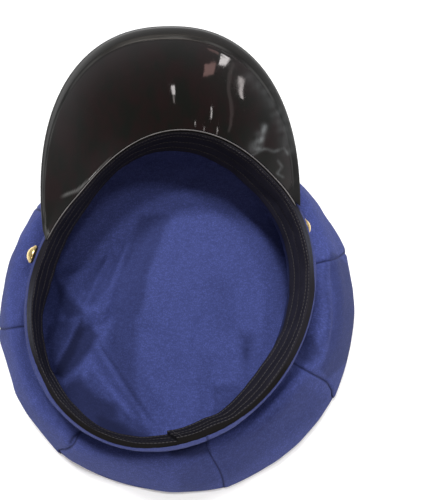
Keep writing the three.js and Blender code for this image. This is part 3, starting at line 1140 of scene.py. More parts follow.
ROUND_STATIONS = 400
ROUND_RADIUS = 90  # for lengths along the band and the sweatband
BAND_SEAM = 279
BAND_DITCH = 0.3
BAND_DITCH_DEGREES = 1.1 / 1.5
BEAD_MIDDLE_OUT = -0.3
BEAD_RISE = 1.5  # the bead is this many times as high as it is wide
BEAD_TURN = (-50, 90)
BAND_TOP_DOWN = 0.5  # where the band's cloth lies beside the tape
BAND_OVER_TAPE = 1.2  # how much higher it lies where it covers the tape
WIDE_COVER = -1.2  # where its cover reaches further in than this, it rises over the tape
RIM_SHARES = (0.35, 0.7, 0.95)  # rows of the cover, from the bead inwards
RIM_CLOTH = 0.35  # thickness of the turned-over cloth
BAND_OUTER_ROWS = 16
BAND_BEAD_ROWS = 13
BAND_INNER_ROWS = 12
BAND_INNER_TOP = RIM_HEIGHT - 1.4
BAND_SHADED_BELOW = RIM_HEIGHT - 2
BAND_SHADED_SIDE = (183, 40)  # the middle and the spread of its side painted darker, a painted shade
BAND_TONE = 0.75  # the band's cloth is the crown's painted this much darker, a painted shade


def round_way(angle):
    """Length along the band."""
    return np.radians(angle) * ROUND_RADIUS


def band_section(angles, sizes):
    """Outs, heights and rubbing of the band's section at some angles."""
    radius = sizes.bead / MM
    cover = at_angle(RIM_COVERS, angles, "out")
    top = RIM_HEIGHT - BAND_TOP_DOWN + BAND_OVER_TAPE * smooth((WIDE_COVER - cover) / 0.8)
    middle = top - radius * BEAD_RISE
    rows = []
    for share in np.linspace(0, 1, BAND_OUTER_ROWS):
        rows.append((0, blend(BAND_BOTTOM, middle - radius * BEAD_RISE - 0.5, share), 0))
    for turn in np.radians(np.linspace(*BEAD_TURN, BAND_BEAD_ROWS)):
        rubbed = max(math.sin(turn + 0.4), 0)
        out = BEAD_MIDDLE_OUT + radius * math.cos(turn)
        rows.append((out, middle + radius * BEAD_RISE * math.sin(turn), rubbed))
    for share in RIM_SHARES:
        rows.append((blend(BEAD_MIDDLE_OUT, cover, share), top, 0.8))
    rows.append((cover, top - RIM_CLOTH / 2, 0.4))
    rows.append((cover + 0.1, top - RIM_CLOTH, 0.2))
    rows.append((np.maximum(cover + 0.3, 0.1 - BAND_WALL), top - RIM_CLOTH, 0))
    for share in np.linspace(0, 1, BAND_INNER_ROWS):
        rows.append((-BAND_WALL, blend(BAND_INNER_TOP, BAND_BOTTOM, share), 0))
    return [
        np.concatenate([np.broadcast_to(part, cover.shape) for part in column], 1)
        for column in zip(*rows)
    ]


class PEAKED_CAP_OT_band(bpy.types.Operator):
    """Makes the upright cloth band with the rolled bead along its rim"""

    bl_idname = "peaked_cap.band"
    bl_label = "Band"
    bl_options = {"REGISTER", "UNDO"}

    def execute(self, context):
        sizes, colours = settings()[:2]
        angles = (BAND_SEAM + np.linspace(0, 360, ROUND_STATIONS, endpoint=False))[:, None]
        out, height, rubbed = band_section(angles, sizes)
        along = round_way(angles)
        ditch = BAND_DITCH * bell(off_angle(angles, BAND_SEAM), BAND_DITCH_DEGREES)
        is_outside = np.arange(out.shape[1]) < out.shape[1] - BAND_INNER_ROWS
        relief = np.where(is_outside, waving(BAND_WAVES, along) - ditch, 0)
        points, faces = loft(head_point(angles, out + relief, height), True)
        way = np.stack(np.broadcast_arrays(along, height + out, 0), -1)
        rubbed = rubbed * (0.75 + waving(BAND_RUBBING, along, height))
        # Painted shade: the band's outer face is painted darker below the bead and on its left
        # side.
        shaded = 0.6 * smooth((BAND_SHADED_BELOW - height) / 1.5)
        shaded = shaded + 0.45 * near(angles, *BAND_SHADED_SIDE)
        marks = {
            "cloth_way": way.reshape(-1, 3) * MM,
            "fold": np.clip(ditch + shaded, 0, 1).ravel(),
            "wear": np.clip(rubbed, 0, 1).ravel(),
        }
        # Painted shade: the band takes the crown's cloth colour painted darker.
        colour = shade(colours.cloth, BAND_TONE)
        finish = shared_finish("band_wool", cloth_finish, colour, colours.worn_cloth)
        make_piece("band_cloth", points, faces, finish, ["band"], marks)
        return {"FINISHED"}


SWEATBAND_ROWS = 56
CHANNEL_DEPTH = 0.4
CHANNEL_WIDTH = 0.8
TAPE_STEP = 0.35  # how far the folded tape stands out
HEM_RISE = 0.25
HEM_WIDTH = 1.6
HIDDEN_TOP_DOWN = 0.5  # the strip's hidden top edge is hollowed under the tape
LIP_LIFT = 0.12  # how far the tape's first end lies over its last
LIP_THICKNESS = 0.45
LIP_REACH = -2.15
LIP_SHARES = np.linspace(0, 1, 7)[None, 1:]
RUBBED_ROWS = 7
# Painted shade: middles, spreads and depths of the sweatband's front and back, painted darker
# towards the tape colour.
DarkSide = namedtuple("DarkSide", "angle spread depth")
DARK_SIDES = [DarkSide(85, 60, 0.5), DarkSide(265, 85, 0.95)]


def past_lap(angle):
    """Degrees past the end of the sweatband's lap."""
    return angle - LAP_START - LAP_OVER


def lap_shift(angle):
    """How much further in the sweatband's first end runs, to lie over its last."""
    return (SWEATBAND_WALL + GAP) * (1 - smooth((past_lap(angle) - 2) / LAP_FADE))


def row_drift(angle, row):
    """How far a row of stitches strays at some angles."""
    return at_angle(STITCH_DRIFTS, angle, "share") * (row < STRAIGHT_ROW)


def sweatband_point(angle, share, depth):
    """A point of the sweatband: at that share of its height, that deep behind its hidden face."""
    angle = np.asarray(angle, float)
    inset = at_angle(SWEATBAND_INSETS, angle, "inset")
    out = -BAND_WALL - GAP - lap_shift(angle) - depth - inset * (1 - share)
    return head_point(angle, out, blend(SWEATBAND_BOTTOM, SWEATBAND_TOP, share))


def sweatband_relief(angle, share):
    """How far the sweatband's showing face stands out, and its tape and stitch channels."""
    height = SWEATBAND_TOP - SWEATBAND_BOTTOM
    channel = np.zeros(np.broadcast(angle, share).shape)
    for row in STITCH_ROWS:
        from_row = (share - row - row_drift(angle, row)) * height
        channel = np.maximum(channel, bell(from_row, CHANNEL_WIDTH))
    taped = smooth((share - TAPE_EDGE) / 0.02) + 0 * channel
    hem = HEM_RISE * bell(share * height - HEM_WIDTH, HEM_WIDTH)
    waves = waving(SWEATBAND_WAVES, round_way(angle), share * height)
    flat_top = smooth((1 - share) * height / 1.2)
    return (TAPE_STEP * taped + hem + waves - CHANNEL_DEPTH * channel) * flat_top, taped, channel


class PEAKED_CAP_OT_sweatband(bpy.types.Operator):
    """Makes the stitched sweatband whose ends lap at the back"""

    bl_idname = "peaked_cap.sweatband"
    bl_label = "Sweatband"
    bl_options = {"REGISTER", "UNDO"}

    def execute(self, context):
        colours = settings()[1]
        angles = np.linspace(LAP_START, LAP_START + 360 + LAP_OVER, ROUND_STATIONS)[:, None]
        shares = np.linspace(0, 1, SWEATBAND_ROWS)[None, :]
        relief, taped, channel = sweatband_relief(angles, shares)
        hidden = sweatband_point(angles, shares, 0)
        hidden[:, -1, 2] -= HIDDEN_TOP_DOWN
        shown = sweatband_point(angles, shares, SWEATBAND_WALL + relief)
        under, over = self.tape_lip(angles)
        sections = wall(np.concatenate([hidden, under], 1), np.concatenate([shown, over], 1))
        points, faces = loft(sections, False)
        lip_marks = np.ones(under.shape[:2])
        # Painted shade: the dark sides go into the tape mark, so the front and back are painted
        # darker.
        darker = sum(side.depth * near(angles, side.angle, side.spread) for side in DARK_SIDES)
        taped = np.concatenate([taped * 0.1, lip_marks * 0.9], 1) + darker
        channel = np.concatenate([channel, 0 * lip_marks], 1)
        ribs = 0.75 + 0.25 * np.cos(np.arange(taped.shape[1]) * 2.1)
        rubbed = ribs * np.max([near(angles, *place) for place in RUBBED_TAPE], 0)
        rubbed[:, :-RUBBED_ROWS] = 0
        marks = {"wear": on_wall(rubbed), "tape": on_wall(taped), "channel": on_wall(channel)}
        finish = shared_finish("stitched_vinyl", vinyl_finish, colours.vinyl, colours.tape)
        make_piece(
            "sweatband_strip", points, faces, finish, ["sweatband"], marks)
        return {"FINISHED"}

    def tape_lip(self, angles):
        """The tape's fold over the rim: its underside and its top, both from the wall outwards."""
        share = LIP_SHARES
        hidden_out = -BAND_WALL - GAP - lap_shift(angles)
        lip_end = np.maximum(at_angle(RIM_COVERS, angles, "out"), LIP_REACH)
        top = TAPE_TOP + LIP_LIFT * (1 - smooth(past_lap(angles) / 3))
        round_over = 0.3 * np.clip(1 - share * 3, 0, 1) ** 2 + 0.12 * share**3
        wave = waving(TAPE_WAVES, round_way(angles))
        under_out = blend(hidden_out, lip_end, share)
        top_out = blend(hidden_out - SWEATBAND_WALL, lip_end, share)
        under = head_point(angles, under_out, top - LIP_THICKNESS)
        return under, head_point(angles, top_out, top - round_over + wave)


# ---- Stitching ----

THREAD_TILT = 0.07  # how far a stitch may turn from its row, in radians
THREAD_PROUD = 0.12  # how far a thread's middle stands above the vinyl
STITCH_SEED = 4
STITCH_INPUTS = (
    ("Path", "Geometry", None),
    ("Pitch", "Float", 0.0034),
    ("Length", "Float", 0.0024),
    ("Radius", "Float", 0.0003),
    ("Seed", "Int", STITCH_SEED),
    ("Finish", "Material", None),
)
ROW_POINTS = 720
LAP_SEAM_POINTS = 30


def stitch_tree():
    """Geometry Nodes that lay short threads along a curve."""
    tree = bpy.data.node_groups.new("stitches", "GeometryNodeTree")
    for name, kind, default in STITCH_INPUTS:
        socket = tree.interface.new_socket(name, in_out="INPUT", socket_type=f"NodeSocket{kind}")
        if default is not None:
            socket.default_value = default
    tree.interface.new_socket("Stitches", in_out="OUTPUT", socket_type="NodeSocketGeometry")
    node = Bench(tree).node
    path, pitch, length, radius, seed, finish = node("NodeGroupInput")[:len(STITCH_INPUTS)]
    spaced = node("GeometryNodeResampleCurve", {"mode": "LENGTH"}, {"Curve": path, "Length": pitch})
    thread = node("GeometryNodeMeshUVSphere", None, {"Segments": 7, "Rings": 5, "Radius": 0.5})
    girth = radius * 2.0
    size = node("ShaderNodeCombineXYZ", None, {"X": girth, "Y": girth, "Z": length})
    shaped = node("GeometryNodeTransform", None, {"Geometry": thread[0], "Scale": size[0]})
    tangent = node("GeometryNodeInputTangent")
    turned = node("FunctionNodeAlignRotationToVector", {"axis": "Z"}, {"Vector": tangent[0]})
    tilts = {
        0: (-THREAD_TILT, -THREAD_TILT, 0.0),
        1: (THREAD_TILT, THREAD_TILT, 0.0),
        "Seed": seed,
    }
    tilt = node("FunctionNodeRandomValue", {"data_type": "FLOAT_VECTOR"}, tilts)
    turns = {"Rotation": turned[0], "Rotate By": tilt[0]}
    loose = node("FunctionNodeRotateRotation", {"rotation_space": "LOCAL"}, turns)
    placed = {"Points": spaced[0], "Instance": shaped[0], "Rotation": loose[0]}
    laid = node("GeometryNodeInstanceOnPoints", None, placed)
    real = node("GeometryNodeRealizeInstances", None, {"Geometry": laid[0]})
    coloured = node("GeometryNodeSetMaterial", None, {"Geometry": real[0], "Material": finish})
    node("NodeGroupOutput", None, {0: coloured[0]})
    return tree


def thread_path(name, lines):
    """A curve object with one straight-sided spline for each line of points in millimetres."""
    curve = bpy.data.curves.new(name, "CURVE")
    curve.dimensions = "3D"
    for line in lines:
        spline = curve.splines.new("POLY")
        spline.points.add(len(line) - 1)
        flat = np.concatenate([np.asarray(line) * MM, np.ones((len(line), 1))], 1)
        spline.points.foreach_set("co", flat.ravel())
    return add_object(name, curve)


def sew(name, lines, finish, sizes, seed):
    """Turns lines of points into one mesh of stitches."""
    path = thread_path(name + "_path", lines)
    modifier = path.modifiers.new("stitches", "NODES")
    modifier.node_group = bpy.data.node_groups.get("stitches") or stitch_tree()
    wanted = {
        "Pitch": sizes.stitch_pitch,
        "Length": sizes.stitch_length,
        "Radius": sizes.thread,
        "Seed": seed,
        "Finish": finish,
    }
    for item in modifier.node_group.interface.items_tree:
        if item.in_out == "INPUT" and item.name in wanted:
            modifier[item.identifier] = wanted[item.name]
    evaluated = path.evaluated_get(bpy.context.evaluated_depsgraph_get())
    mesh = bpy.data.meshes.new_from_object(evaluated)
    path.modifiers.clear()
    bpy.data.objects.remove(path)
    if not mesh.polygons:
        raise RuntimeError(f"no stitches were made for {name}")
    mesh.shade_smooth()
    return dress(name, mesh)


class PEAKED_CAP_OT_stitching(bpy.types.Operator):
    """Sews the rows of thread on the sweatband and over its lap"""

    bl_idname = "peaked_cap.stitching"
    bl_label = "Stitching"
    bl_options = {"REGISTER", "UNDO"}

    def execute(self, context):
        sizes, colours = settings()[:2]
        finish = shared_finish("grey_thread", thread_finish, colours.thread)
        angles = np.linspace(LAP_START + 0.4, LAP_START + 360 + LAP_OVER - 1.5, ROW_POINTS)
        is_seen = angles <= LAP_START + 360 - 0.5
        lines = []
        for row in STITCH_ROWS:
            line = self.sewn(angles, row + row_drift(angles, row) + waving(STITCH_WOBBLE, angles))
            lines.append(line[is_seen])
        across = np.linspace(0.08, 0.92, LAP_SEAM_POINTS)
        lines.append(self.sewn(np.full_like(across, LAP_START + 1.6), across))
        sew("sweatband_stitches", lines, finish, sizes, STITCH_SEED)
        return {"FINISHED"}

    def sewn(self, angles, shares):
        """Points of a thread that lies on the sweatband's relief."""
        relief = sweatband_relief(angles, shares)[0]
        return sweatband_point(angles, shares, SWEATBAND_WALL + THREAD_PROUD + relief)


# ---- Peak ----

PEAK_STATIONS = 220
PLATE_ROWS = 44
LIP_ROWS = 14
PEAK_BOW = 0.5  # how far the plate bellies up between root and lip
LIP_CROWN = 0.15
LIP_FALL = 0.35  # how far the lip droops to the free edge
GROOVE_DEPTH = 0.15
EDGE_ROUNDING = 1.2
STUB_LENGTH = 9  # the peak's narrow ends are plain up to this length
STUB_FADE = 6
EDGE_RUN_OUT = 0.8  # the lip takes up at most this share of the peak's length
HAZE_REACH = 14
LIP_LINE_WIDTH = 0.45
CALM_WIDTH = 12  # the plate's waves die away this close to its free edge
Dent = namedtuple("Dent", "x y depth spread")
PEAK_DENTS = [
    Dent(62, 78, 0.35, 11),
    Dent(70, 66, -0.3, 8),
]
ROOT_WELT = Fold(0.3, 0.8, 1.4, 0.3, 0.5, 0, [
    (-65, 55), (-60, 57.5), (-54, 60), (-47, 66), (-40, 73), (-31, 81),
])

# Whitish streaks laid over the plate's colour.
Smudge = namedtuple("Smudge", "strength width points")
PEAK_SMUDGES = [
    Smudge(0.5, 1.8, [(65, 88), (63, 82), (61, 77)]),
    Smudge(0.25, 3.0, [(63, 84), (58, 78)]),
    Smudge(0.32, 0.8, [(56, 74), (64, 76), (70, 73), (76, 73), (78, 69)]),
    Smudge(0.3, 0.7, [(72, 67), (74, 63), (71, 60), (74, 57)]),
    Smudge(0.12, 4.0, [(74, 94), (78, 82), (79, 72)]),
    Smudge(0.08, 3.5, [(58, 117), (66, 108), (73, 96)]),
]

ROOT_BINDING_STATIONS = 240
ROOT_BINDING_SIDES = 10
ROOT_BINDING_RADIUS = 0.38
ROOT_BINDING_END = 3  # degrees over which the binding tapers
ROOT_BINDING_OUT = PEAK_ROOT - 0.7
ROOT_BINDING_HEIGHT = PEAK_LEVEL - 0.35
ROOT_BINDING_TAPE = (0.085, 0.08, 0.08)


def peak_edge(angle):
    """The peak's free edge: a rounded outline that rises to the front, and straight sides."""
    turned = np.radians(angle)
    power = 2 / PEAK_SQUARENESS
    across = PEAK_HALF_WIDTH * np.sign(np.cos(turned)) * np.abs(np.cos(turned)) ** power
    sine = np.sin(turned)
    forward = np.where(sine > 0, PEAK_DEPTH * np.clip(sine, 0, 1) ** power, PEAK_SIDES * sine)
    twist = math.radians(PEAK_TURNED)
    x = across * math.cos(twist) - forward * math.sin(twist)
    y = across * math.sin(twist) + forward * math.cos(twist)
    climb = np.maximum(0, forward + PEAK_Y - PEAK_LEVEL_TO_Y) * math.tan(math.radians(PEAK_RISE))
    return np.stack([x + PEAK_X, y + PEAK_Y, PEAK_LEVEL + climb], -1)


def peak_grid(share, sizes):
    """Where each row of the peak lies between root and edge, and its distance from the edge."""
    root = head_point(blend(RIGHT_ROOT, LEFT_ROOT, share), PEAK_ROOT, PEAK_LEVEL)
    edge = peak_edge(blend(RIGHT_EDGE, LEFT_EDGE, share))
    length = np.linalg.norm(edge - root, axis=-1)[:, None]
    lip = np.minimum(sizes.lip_width / MM + 1, EDGE_RUN_OUT * length)
    plate = (length - lip) * np.linspace(0, 1, PLATE_ROWS)[None, :-1]
    rim = length - lip + lip * np.sin(np.linspace(0, np.pi / 2, LIP_ROWS))[None, :]
    run = np.concatenate([plate, rim], 1)
    flat = root[:, None] + (edge - root)[:, None] * (run / length)[..., None]
    return flat, length - run


def left_of(x, start, over):
    """A soft step from 0 at a place to 1 that far to its left."""
    return smooth((start - x) / over)


def root_welt(x, y):
    """How far the short welt beside the left of the root stands up, from 0 to 1."""
    signed, along = beside(ROOT_WELT.points, x, y)
    far = np.abs(signed) / np.where(signed > 0, ROOT_WELT.left, ROOT_WELT.right)
    return np.clip(1 - far, 0, 1) * fade_ends(along, 8)


class PEAKED_CAP_OT_peak(bpy.types.Operator):
    """Makes the glossy moulded peak with its lip, and the binding along its root"""

    bl_idname = "peaked_cap.peak"
    bl_label = "Peak"
    bl_options = {"REGISTER", "UNDO"}

    def execute(self, context):
        sizes, colours = settings()[:2]
        flat, from_edge = peak_grid(np.linspace(0, 1, PEAK_STATIONS), sizes)
        width = sizes.lip_width / MM
        stub = 1 - smooth((from_edge[:, :1] - STUB_LENGTH) / STUB_FADE)
        lower, upper = self.faces(flat, from_edge, width, sizes.lip_height / MM, stub)
        points, faces = loft(wall(lower, upper), False)
        marks = self.marks(flat[..., 0], flat[..., 1], from_edge, width, stub)
        finish = shared_finish("peak_gloss", peak_finish, colours.peak, colours.rubbed_peak)
        make_piece("peak_plate", points, faces, finish, ["peak"], marks, sharp=60)
        self.bind_root(colours)
        return {"FINISHED"}

    def faces(self, flat, from_edge, width, lip_height, stub):
        """The underside and the glossy side of the peak, with a rounded free edge."""
        x, y = flat[..., 0], flat[..., 1]
        past_lip = from_edge - width
        on_lip = lip_height * (1 - smooth((past_lip + 0.4) / 0.8))
        crown = LIP_CROWN * np.sin(np.pi * np.clip(from_edge / width, 0, 1))
        fall = LIP_FALL * np.clip(1 - from_edge / width, 0, 1) ** 2
        groove = GROOVE_DEPTH * bell(past_lip - 0.9, 0.7)
        waves = waving(PEAK_RIPPLES, x, y * 0.7) + waving(PEAK_SWELL, x, y)
        dents = sum(
            dent.depth * bell(np.hypot(x - dent.x, (y - dent.y) * 0.7), dent.spread)
            for dent in PEAK_DENTS)
        calm = smooth((from_edge - 1) / CALM_WIDTH)
        along_plate = np.clip(past_lip / past_lip[:, :1], 0, 1) * (1 - stub)
        relief = on_lip + crown - fall - groove + (waves + dents) * calm
        relief += ROOT_WELT.height * root_welt(x, y) + PEAK_BOW * np.sin(np.pi * along_plate)
        relief *= 1 - stub
        lean = math.radians(PEAK_LEAN)
        thickness = np.array([0, -math.sin(lean), math.cos(lean)])
        rounding = np.sqrt(1 - (1 - np.clip(from_edge / EDGE_ROUNDING, 0, 1)) ** 2)
        upper = relief * blend(0.3, 1, rounding) - 0.5 * (1 - rounding)
        lower = -PEAK_WALL * blend(0.45, 1, rounding) + waves * calm * 0.6
        return flat + thickness * lower[..., None], flat + thickness * upper[..., None]

    def marks(self, x, y, from_edge, width, stub):
        """Where the lip is grey, the plate hazy or streaked whitish, and edges are rubbed."""
        past_lip = from_edge - width
        haze = 0.5 * np.exp(-np.maximum(past_lip, 0) / HAZE_REACH) + 0.12 * left_of(x, -30, 40)
        haze *= 1 - 0.75 * left_of(x, -50, 25)
        smudges = [
            smudge.strength * bell(beside(smudge.points, x, y)[0], smudge.width)
            for smudge in PEAK_SMUDGES
        ]
        smudge = np.max(smudges, 0) * (0.75 + waving(SMUDGE_PATCHES, x, y))
        line = bell(past_lip - 0.1, LIP_LINE_WIDTH) * (0.17 + waving(LIP_LINE_WEAR, x, y))
        left_edge = 0.45 * bell(from_edge, 0.5) * left_of(x, -62, 12)
        rubbed = 1 - smooth((past_lip - 0.5) / 1.2)
        return {
            "lip": on_wall(np.maximum(rubbed * (1 - stub), 1.8 * stub)),
            "haze": on_wall(haze),
            "smudge": on_wall(smudge),
            "wear": on_wall(np.clip(0.6 * root_welt(x, y) + line + left_edge, 0, 1) * (1 - stub)),
        }

    def bind_root(self, colours):
        """A narrow binding that closes the root's edge all the way along."""
        first, last = RIGHT_ROOT - 1, LEFT_ROOT - 0.5
        share = np.linspace(0, 1, ROOT_BINDING_STATIONS)[:, None]
        angles = blend(first, last, share)
        turn = np.radians(np.linspace(0, 360, ROOT_BINDING_SIDES, endpoint=False))
        radius = ROOT_BINDING_RADIUS * (1 + waving(BINDING_WAVES, angles))
        radius = radius * fade_ends(share, (last - first) / ROOT_BINDING_END, 0.3)
        out = ROOT_BINDING_OUT + radius * np.cos(turn)
        height = ROOT_BINDING_HEIGHT + radius * np.sin(turn)
        points, faces = loft(head_point(angles, out, height), False)
        wear = (("tape", 1), ("channel", 0.5), ("wear", 0))
        marks = {name: np.full(len(points), value) for name, value in wear}
        finish = shared_finish("root_binding", vinyl_finish, colours.tape, ROOT_BINDING_TAPE)
        make_piece("peak_root_binding", points, faces, finish, (), marks)


# ---- Buttons ----

# The half section of a button, out from the band, and how far each part is a tarnished hollow.
Turning = namedtuple("Turning", "radius out hollow")
BUTTON_PROFILE = [
    Turning(0, 0, 0),
    Turning(4.4, 0, 0),
    Turning(4.6, 1.1, 0),
    Turning(5.4, 1.3, 0),
    Turning(5.8, 1.7, 0),
    Turning(5.95, 2.3, 0),
    Turning(5.9, 2.9, 0),
    Turning(5.65, 3.35, 0),
    Turning(5.35, 3.4, 0.3),
    Turning(5.1, 3.4, 0.7),
    Turning(4.8, 3.8, 0.3),
    Turning(4.2, 4.5, 0),
    Turning(3.3, 5.2, 0),
    Turning(2.2, 5.7, 0),
    Turning(1.1, 6, 0),
    Turning(0, 6.1, 0),
]
RIM_RADIUS = 5.8
RIM_WIDTH = 0.35
RIM_BACK = 2  # the roped part of the rim begins this far out
ROPE_TURNS = 34  # slanting nicks around the raised rim
ROPE_SLANT = 1.6
NICK_DEPTH = 0.22


class PEAKED_CAP_OT_buttons(bpy.types.Operator):
    """Makes the two domed brass buttons beside the peak's ends"""

    bl_idname = "peaked_cap.buttons"
    bl_label = "Buttons"
    bl_options = {"REGISTER", "UNDO"}

    def execute(self, context):
        sizes, colours = settings()[:2]
        turn = np.radians(np.linspace(0, 360, sizes.button_steps, endpoint=False))[:, None]
        radius, out, hollow = np.array(BUTTON_PROFILE).T[:, None, :]
        on_rim = bell(radius - RIM_RADIUS, RIM_WIDTH) * (out > RIM_BACK)
        nick = on_rim * (0.5 + 0.5 * np.sin(turn * ROPE_TURNS + out * ROPE_SLANT))
        radius = radius - NICK_DEPTH * nick
        spin = radius * np.cos(turn), radius * np.sin(turn), out + 0 * turn
        marks = {"hollow": np.clip(hollow + 0.7 * nick, 0, 1).ravel()}
        finish = shared_finish("button_gold", brass_finish, colours.brass)
        for name, angle in BUTTON_ANGLES.items():
            middle, axes = self.seat(angle)
            points = middle + sum(part[..., None] * axis for part, axis in zip(spin, axes))
            flat, faces = loft(points, True)
            make_piece(
                name + "_dome", flat, faces, finish, [name], marks, sharp=70)
        return {"FINISHED"}

    def seat(self, angle):
        """Where a button sits on the band, and its sideways, upright and outward directions."""
        level = BUTTON_HEIGHT
        along = head_point(angle + 1, 0, level) - head_point(angle - 1, 0, level)
        upright = head_point(angle, 0, level + 1) - head_point(angle, 0, level - 1)
        outward = np.cross(along, upright)
        outward = outward / np.linalg.norm(outward)
        sideways = along / np.linalg.norm(along)
        middle = head_point(angle, 0, level) + outward * GAP
        return middle, (sideways, np.cross(outward, sideways), outward)


# ---- Stage ----

Lamp = namedtuple("Lamp", "name x y z wide long power")
KEY_LAMPS = [
    Lamp("key_right", 0.02, 0.30, 1.75, 0.18, 0.16, 0.86),
    Lamp("key_middle", -0.08, 0.65, 1.75, 0.18, 0.16, 0.94),
    Lamp("key_left", -0.27, 0.66, 1.75, 0.18, 0.16, 0.88),
    Lamp("key_side", 0.52, 0.14, 1.75, 0.20, 0.16, 0.60),
    Lamp("fill_back", 0.0, -2.3, 1.8, 1.2, 0.7, 1.7),
]
LAMP_COLOURS = {"fill_back": (1.0, 0.90, 0.80)}

# Small bright things below the ceiling that the peak mirrors.
Glint = namedtuple("Glint", "name x y wide long turned power warmth")
GLINT_HEIGHT = 1.9
GLINTS = [
    Glint("glint_middle", -0.02, -1.245, 0.05, 0.12, 0, 0.20, 0.2),
    Glint("glint_middle_tail", -0.01, -1.36, 0.02, 0.09, 0, 0.02, 0.4),
    Glint("glint_rose", -0.50, -0.945, 0.16, 0.075, -28, 0.11, 1.5),
    Glint("glint_rose_heart", -0.53, -0.94, 0.09, 0.02, -28, 0.05, 0.3),
    Glint("glint_wide", -0.64, -0.815, 0.12, 0.04, -28, 0.22, 0.2),
    Glint("glint_tall", -0.915, -0.765, 0.25, 0.026, 28, 0.18, 0.3),
    Glint("glint_low", -0.862, -1.227, 0.15, 0.032, 40, 0.13, 0.2),
    Glint("glint_left_dot", -0.63, -1.43, 0.025, 0.008, 0, 0.007, 0.2),
    Glint("glint_middle_dot", -0.815, -1.387, 0.025, 0.008, 0, 0.007, 0.2),
    Glint("glint_right_dot", -1.19, -1.268, 0.06, 0.012, 0, 0.016, 0.2),
    Glint("door_edge", -1.07, -0.95, 0.82, 0.035, 31, 0.050, 0.6),
]
WARM_GREEN_LOSS = 0.27
WARM_BLUE_LOSS = 0.3
FLOOR_HALF = 3.0
FLOOR_DEPTH = -0.0004  # just under the cap
DARK_CEILING = (-0.06, -0.46, 0.88)  # the unlit part of the room, above and behind the camera

# The surroundings' brightness, from far off the dark ceiling to its middle.
SKY_STOPS = [
    (0.0, (1.0, 1.0, 1.0, 1)),
    (0.50, (1.0, 1.0, 1.0, 1)),
    (0.72, (0.62, 0.63, 0.65, 1)),
    (0.84, (0.16, 0.16, 0.17, 1)),
    (0.93, (0.05, 0.045, 0.045, 1)),
]
CAMERA_PLACE = (0.0155, -0.0987, 0.472)
CAMERA_TILT = 16.3
CAMERA_TURN = -5.0
CAMERA_SENSOR = 36
CAMERA_NEAR = 0.01


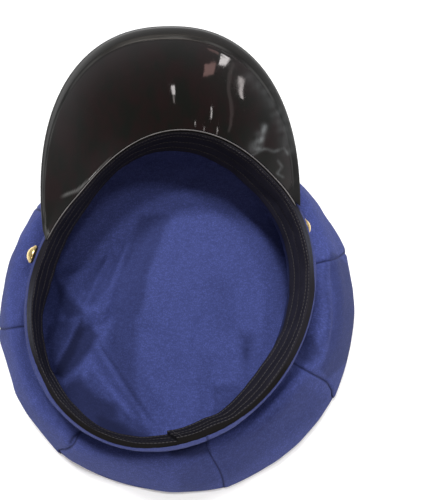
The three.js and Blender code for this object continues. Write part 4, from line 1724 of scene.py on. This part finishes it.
class PEAKED_CAP_OT_stage(bpy.types.Operator):
    """Sets the pale floor, the soft lamps, the surroundings and the camera"""

    bl_idname = "peaked_cap.stage"
    bl_label = "Stage"
    bl_options = {"REGISTER", "UNDO"}

    def execute(self, context):
        colours, stage = settings()[1:]
        self.lay_floor(colours)
        self.light_sky(stage)
        for lamp in KEY_LAMPS:
            holder = self.hang(lamp, lamp.z, stage.key_power * lamp.power)
            toward_cap = -Vector(holder.location)
            holder.rotation_euler = toward_cap.to_track_quat("-Z", "Y").to_euler()
            holder.data.color = LAMP_COLOURS.get(lamp.name, (1.0, 1.0, 1.0))
        for glint in GLINTS:
            holder = self.hang(glint, GLINT_HEIGHT, glint.power)
            holder.rotation_euler.z = math.radians(glint.turned)
            green = 1.0 - WARM_GREEN_LOSS * glint.warmth
            holder.data.color = (1.0, green, 1.0 - WARM_BLUE_LOSS * glint.warmth)
        camera = add_object("camera", bpy.data.cameras.new("camera"))
        camera.data.lens = stage.lens
        camera.data.sensor_width = CAMERA_SENSOR
        camera.data.clip_start = CAMERA_NEAR
        camera.location = CAMERA_PLACE
        camera.rotation_euler = (math.radians(CAMERA_TILT), 0, math.radians(CAMERA_TURN))
        bpy.context.scene.camera = camera
        bpy.context.scene.view_settings.view_transform = "Standard"
        return {"FINISHED"}

    def lay_floor(self, colours):
        mesh = bpy.data.meshes.new("floor")
        signs = ((-1, -1), (1, -1), (1, 1), (-1, 1))
        corners = [(x * FLOOR_HALF, y * FLOOR_HALF, FLOOR_DEPTH) for x, y in signs]
        mesh.from_pydata(corners, [], [(0, 1, 2, 3)])
        mesh.materials.append(shared_finish("pale_floor", floor_finish, colours.floor))
        floor = add_object("floor", mesh)

    def light_sky(self, stage):
        """Pale surroundings with a dark ceiling behind the camera."""
        world = bpy.data.worlds.new("surroundings")
        world.use_nodes = True
        bench = Bench(world.node_tree)
        toward = bench.node("ShaderNodeTexCoord")[0]
        facing_dark = {0: toward, 1: Vector(DARK_CEILING).normalized()}
        dark = bench.node("ShaderNodeVectorMath", {"operation": "DOT_PRODUCT"}, facing_dark)[0]
        tone = bench.node("ShaderNodeValToRGB", {"stops": SKY_STOPS}, {"Fac": dark})[0]
        glow = bench.node("ShaderNodeBackground", None, {"Color": tone, "Strength": stage.sky})[0]
        bench.node("ShaderNodeOutputWorld", None, {"Surface": glow})
        bpy.context.scene.world = world

    def hang(self, lamp, height, power):
        """An area lamp that faces down."""
        light = bpy.data.lights.new(lamp.name, "AREA")
        light.shape = "RECTANGLE"
        light.size = lamp.wide
        light.size_y = lamp.long
        light.energy = power
        holder = add_object(lamp.name, light)
        holder.location = (lamp.x, lamp.y, height)
        return holder


# ---- Panel and registration ----

STEPS = (
    PEAKED_CAP_OT_crown_top,
    PEAKED_CAP_OT_crown_panels,
    PEAKED_CAP_OT_band,
    PEAKED_CAP_OT_sweatband,
    PEAKED_CAP_OT_stitching,
    PEAKED_CAP_OT_peak,
    PEAKED_CAP_OT_buttons,
    PEAKED_CAP_OT_stage,
)


class PEAKED_CAP_PT_sidebar(bpy.types.Panel):
    """Lists the cap's sizes, colours and steps"""

    bl_label = "Peaked Cap"
    bl_space_type = "VIEW_3D"
    bl_region_type = "UI"
    bl_category = "Peaked Cap"

    def draw(self, context):
        for group in settings():
            box = self.layout.box()
            for name in group.bl_rna.properties.keys():
                if name not in ("rna_type", "name"):
                    box.prop(group, name)
        for step in STEPS:
            self.layout.operator(step.bl_idname)


GROUPS = {"cap_sizes": CapSizes, "cap_colours": CapColours, "cap_stage": StageSettings}
CLASSES = (*GROUPS.values(), *STEPS, PEAKED_CAP_PT_sidebar)


def register():
    for cls in CLASSES:
        bpy.utils.register_class(cls)
    for name, group in GROUPS.items():
        setattr(bpy.types.Scene, name, PointerProperty(type=group))


def unregister():
    for name in GROUPS:
        delattr(bpy.types.Scene, name)
    for cls in reversed(CLASSES):
        bpy.utils.unregister_class(cls)


def main():
    register()
    for step in STEPS:
        getattr(bpy.ops.peaked_cap, step.bl_idname.split(".")[1])()


if __name__ == "__main__":
    main()
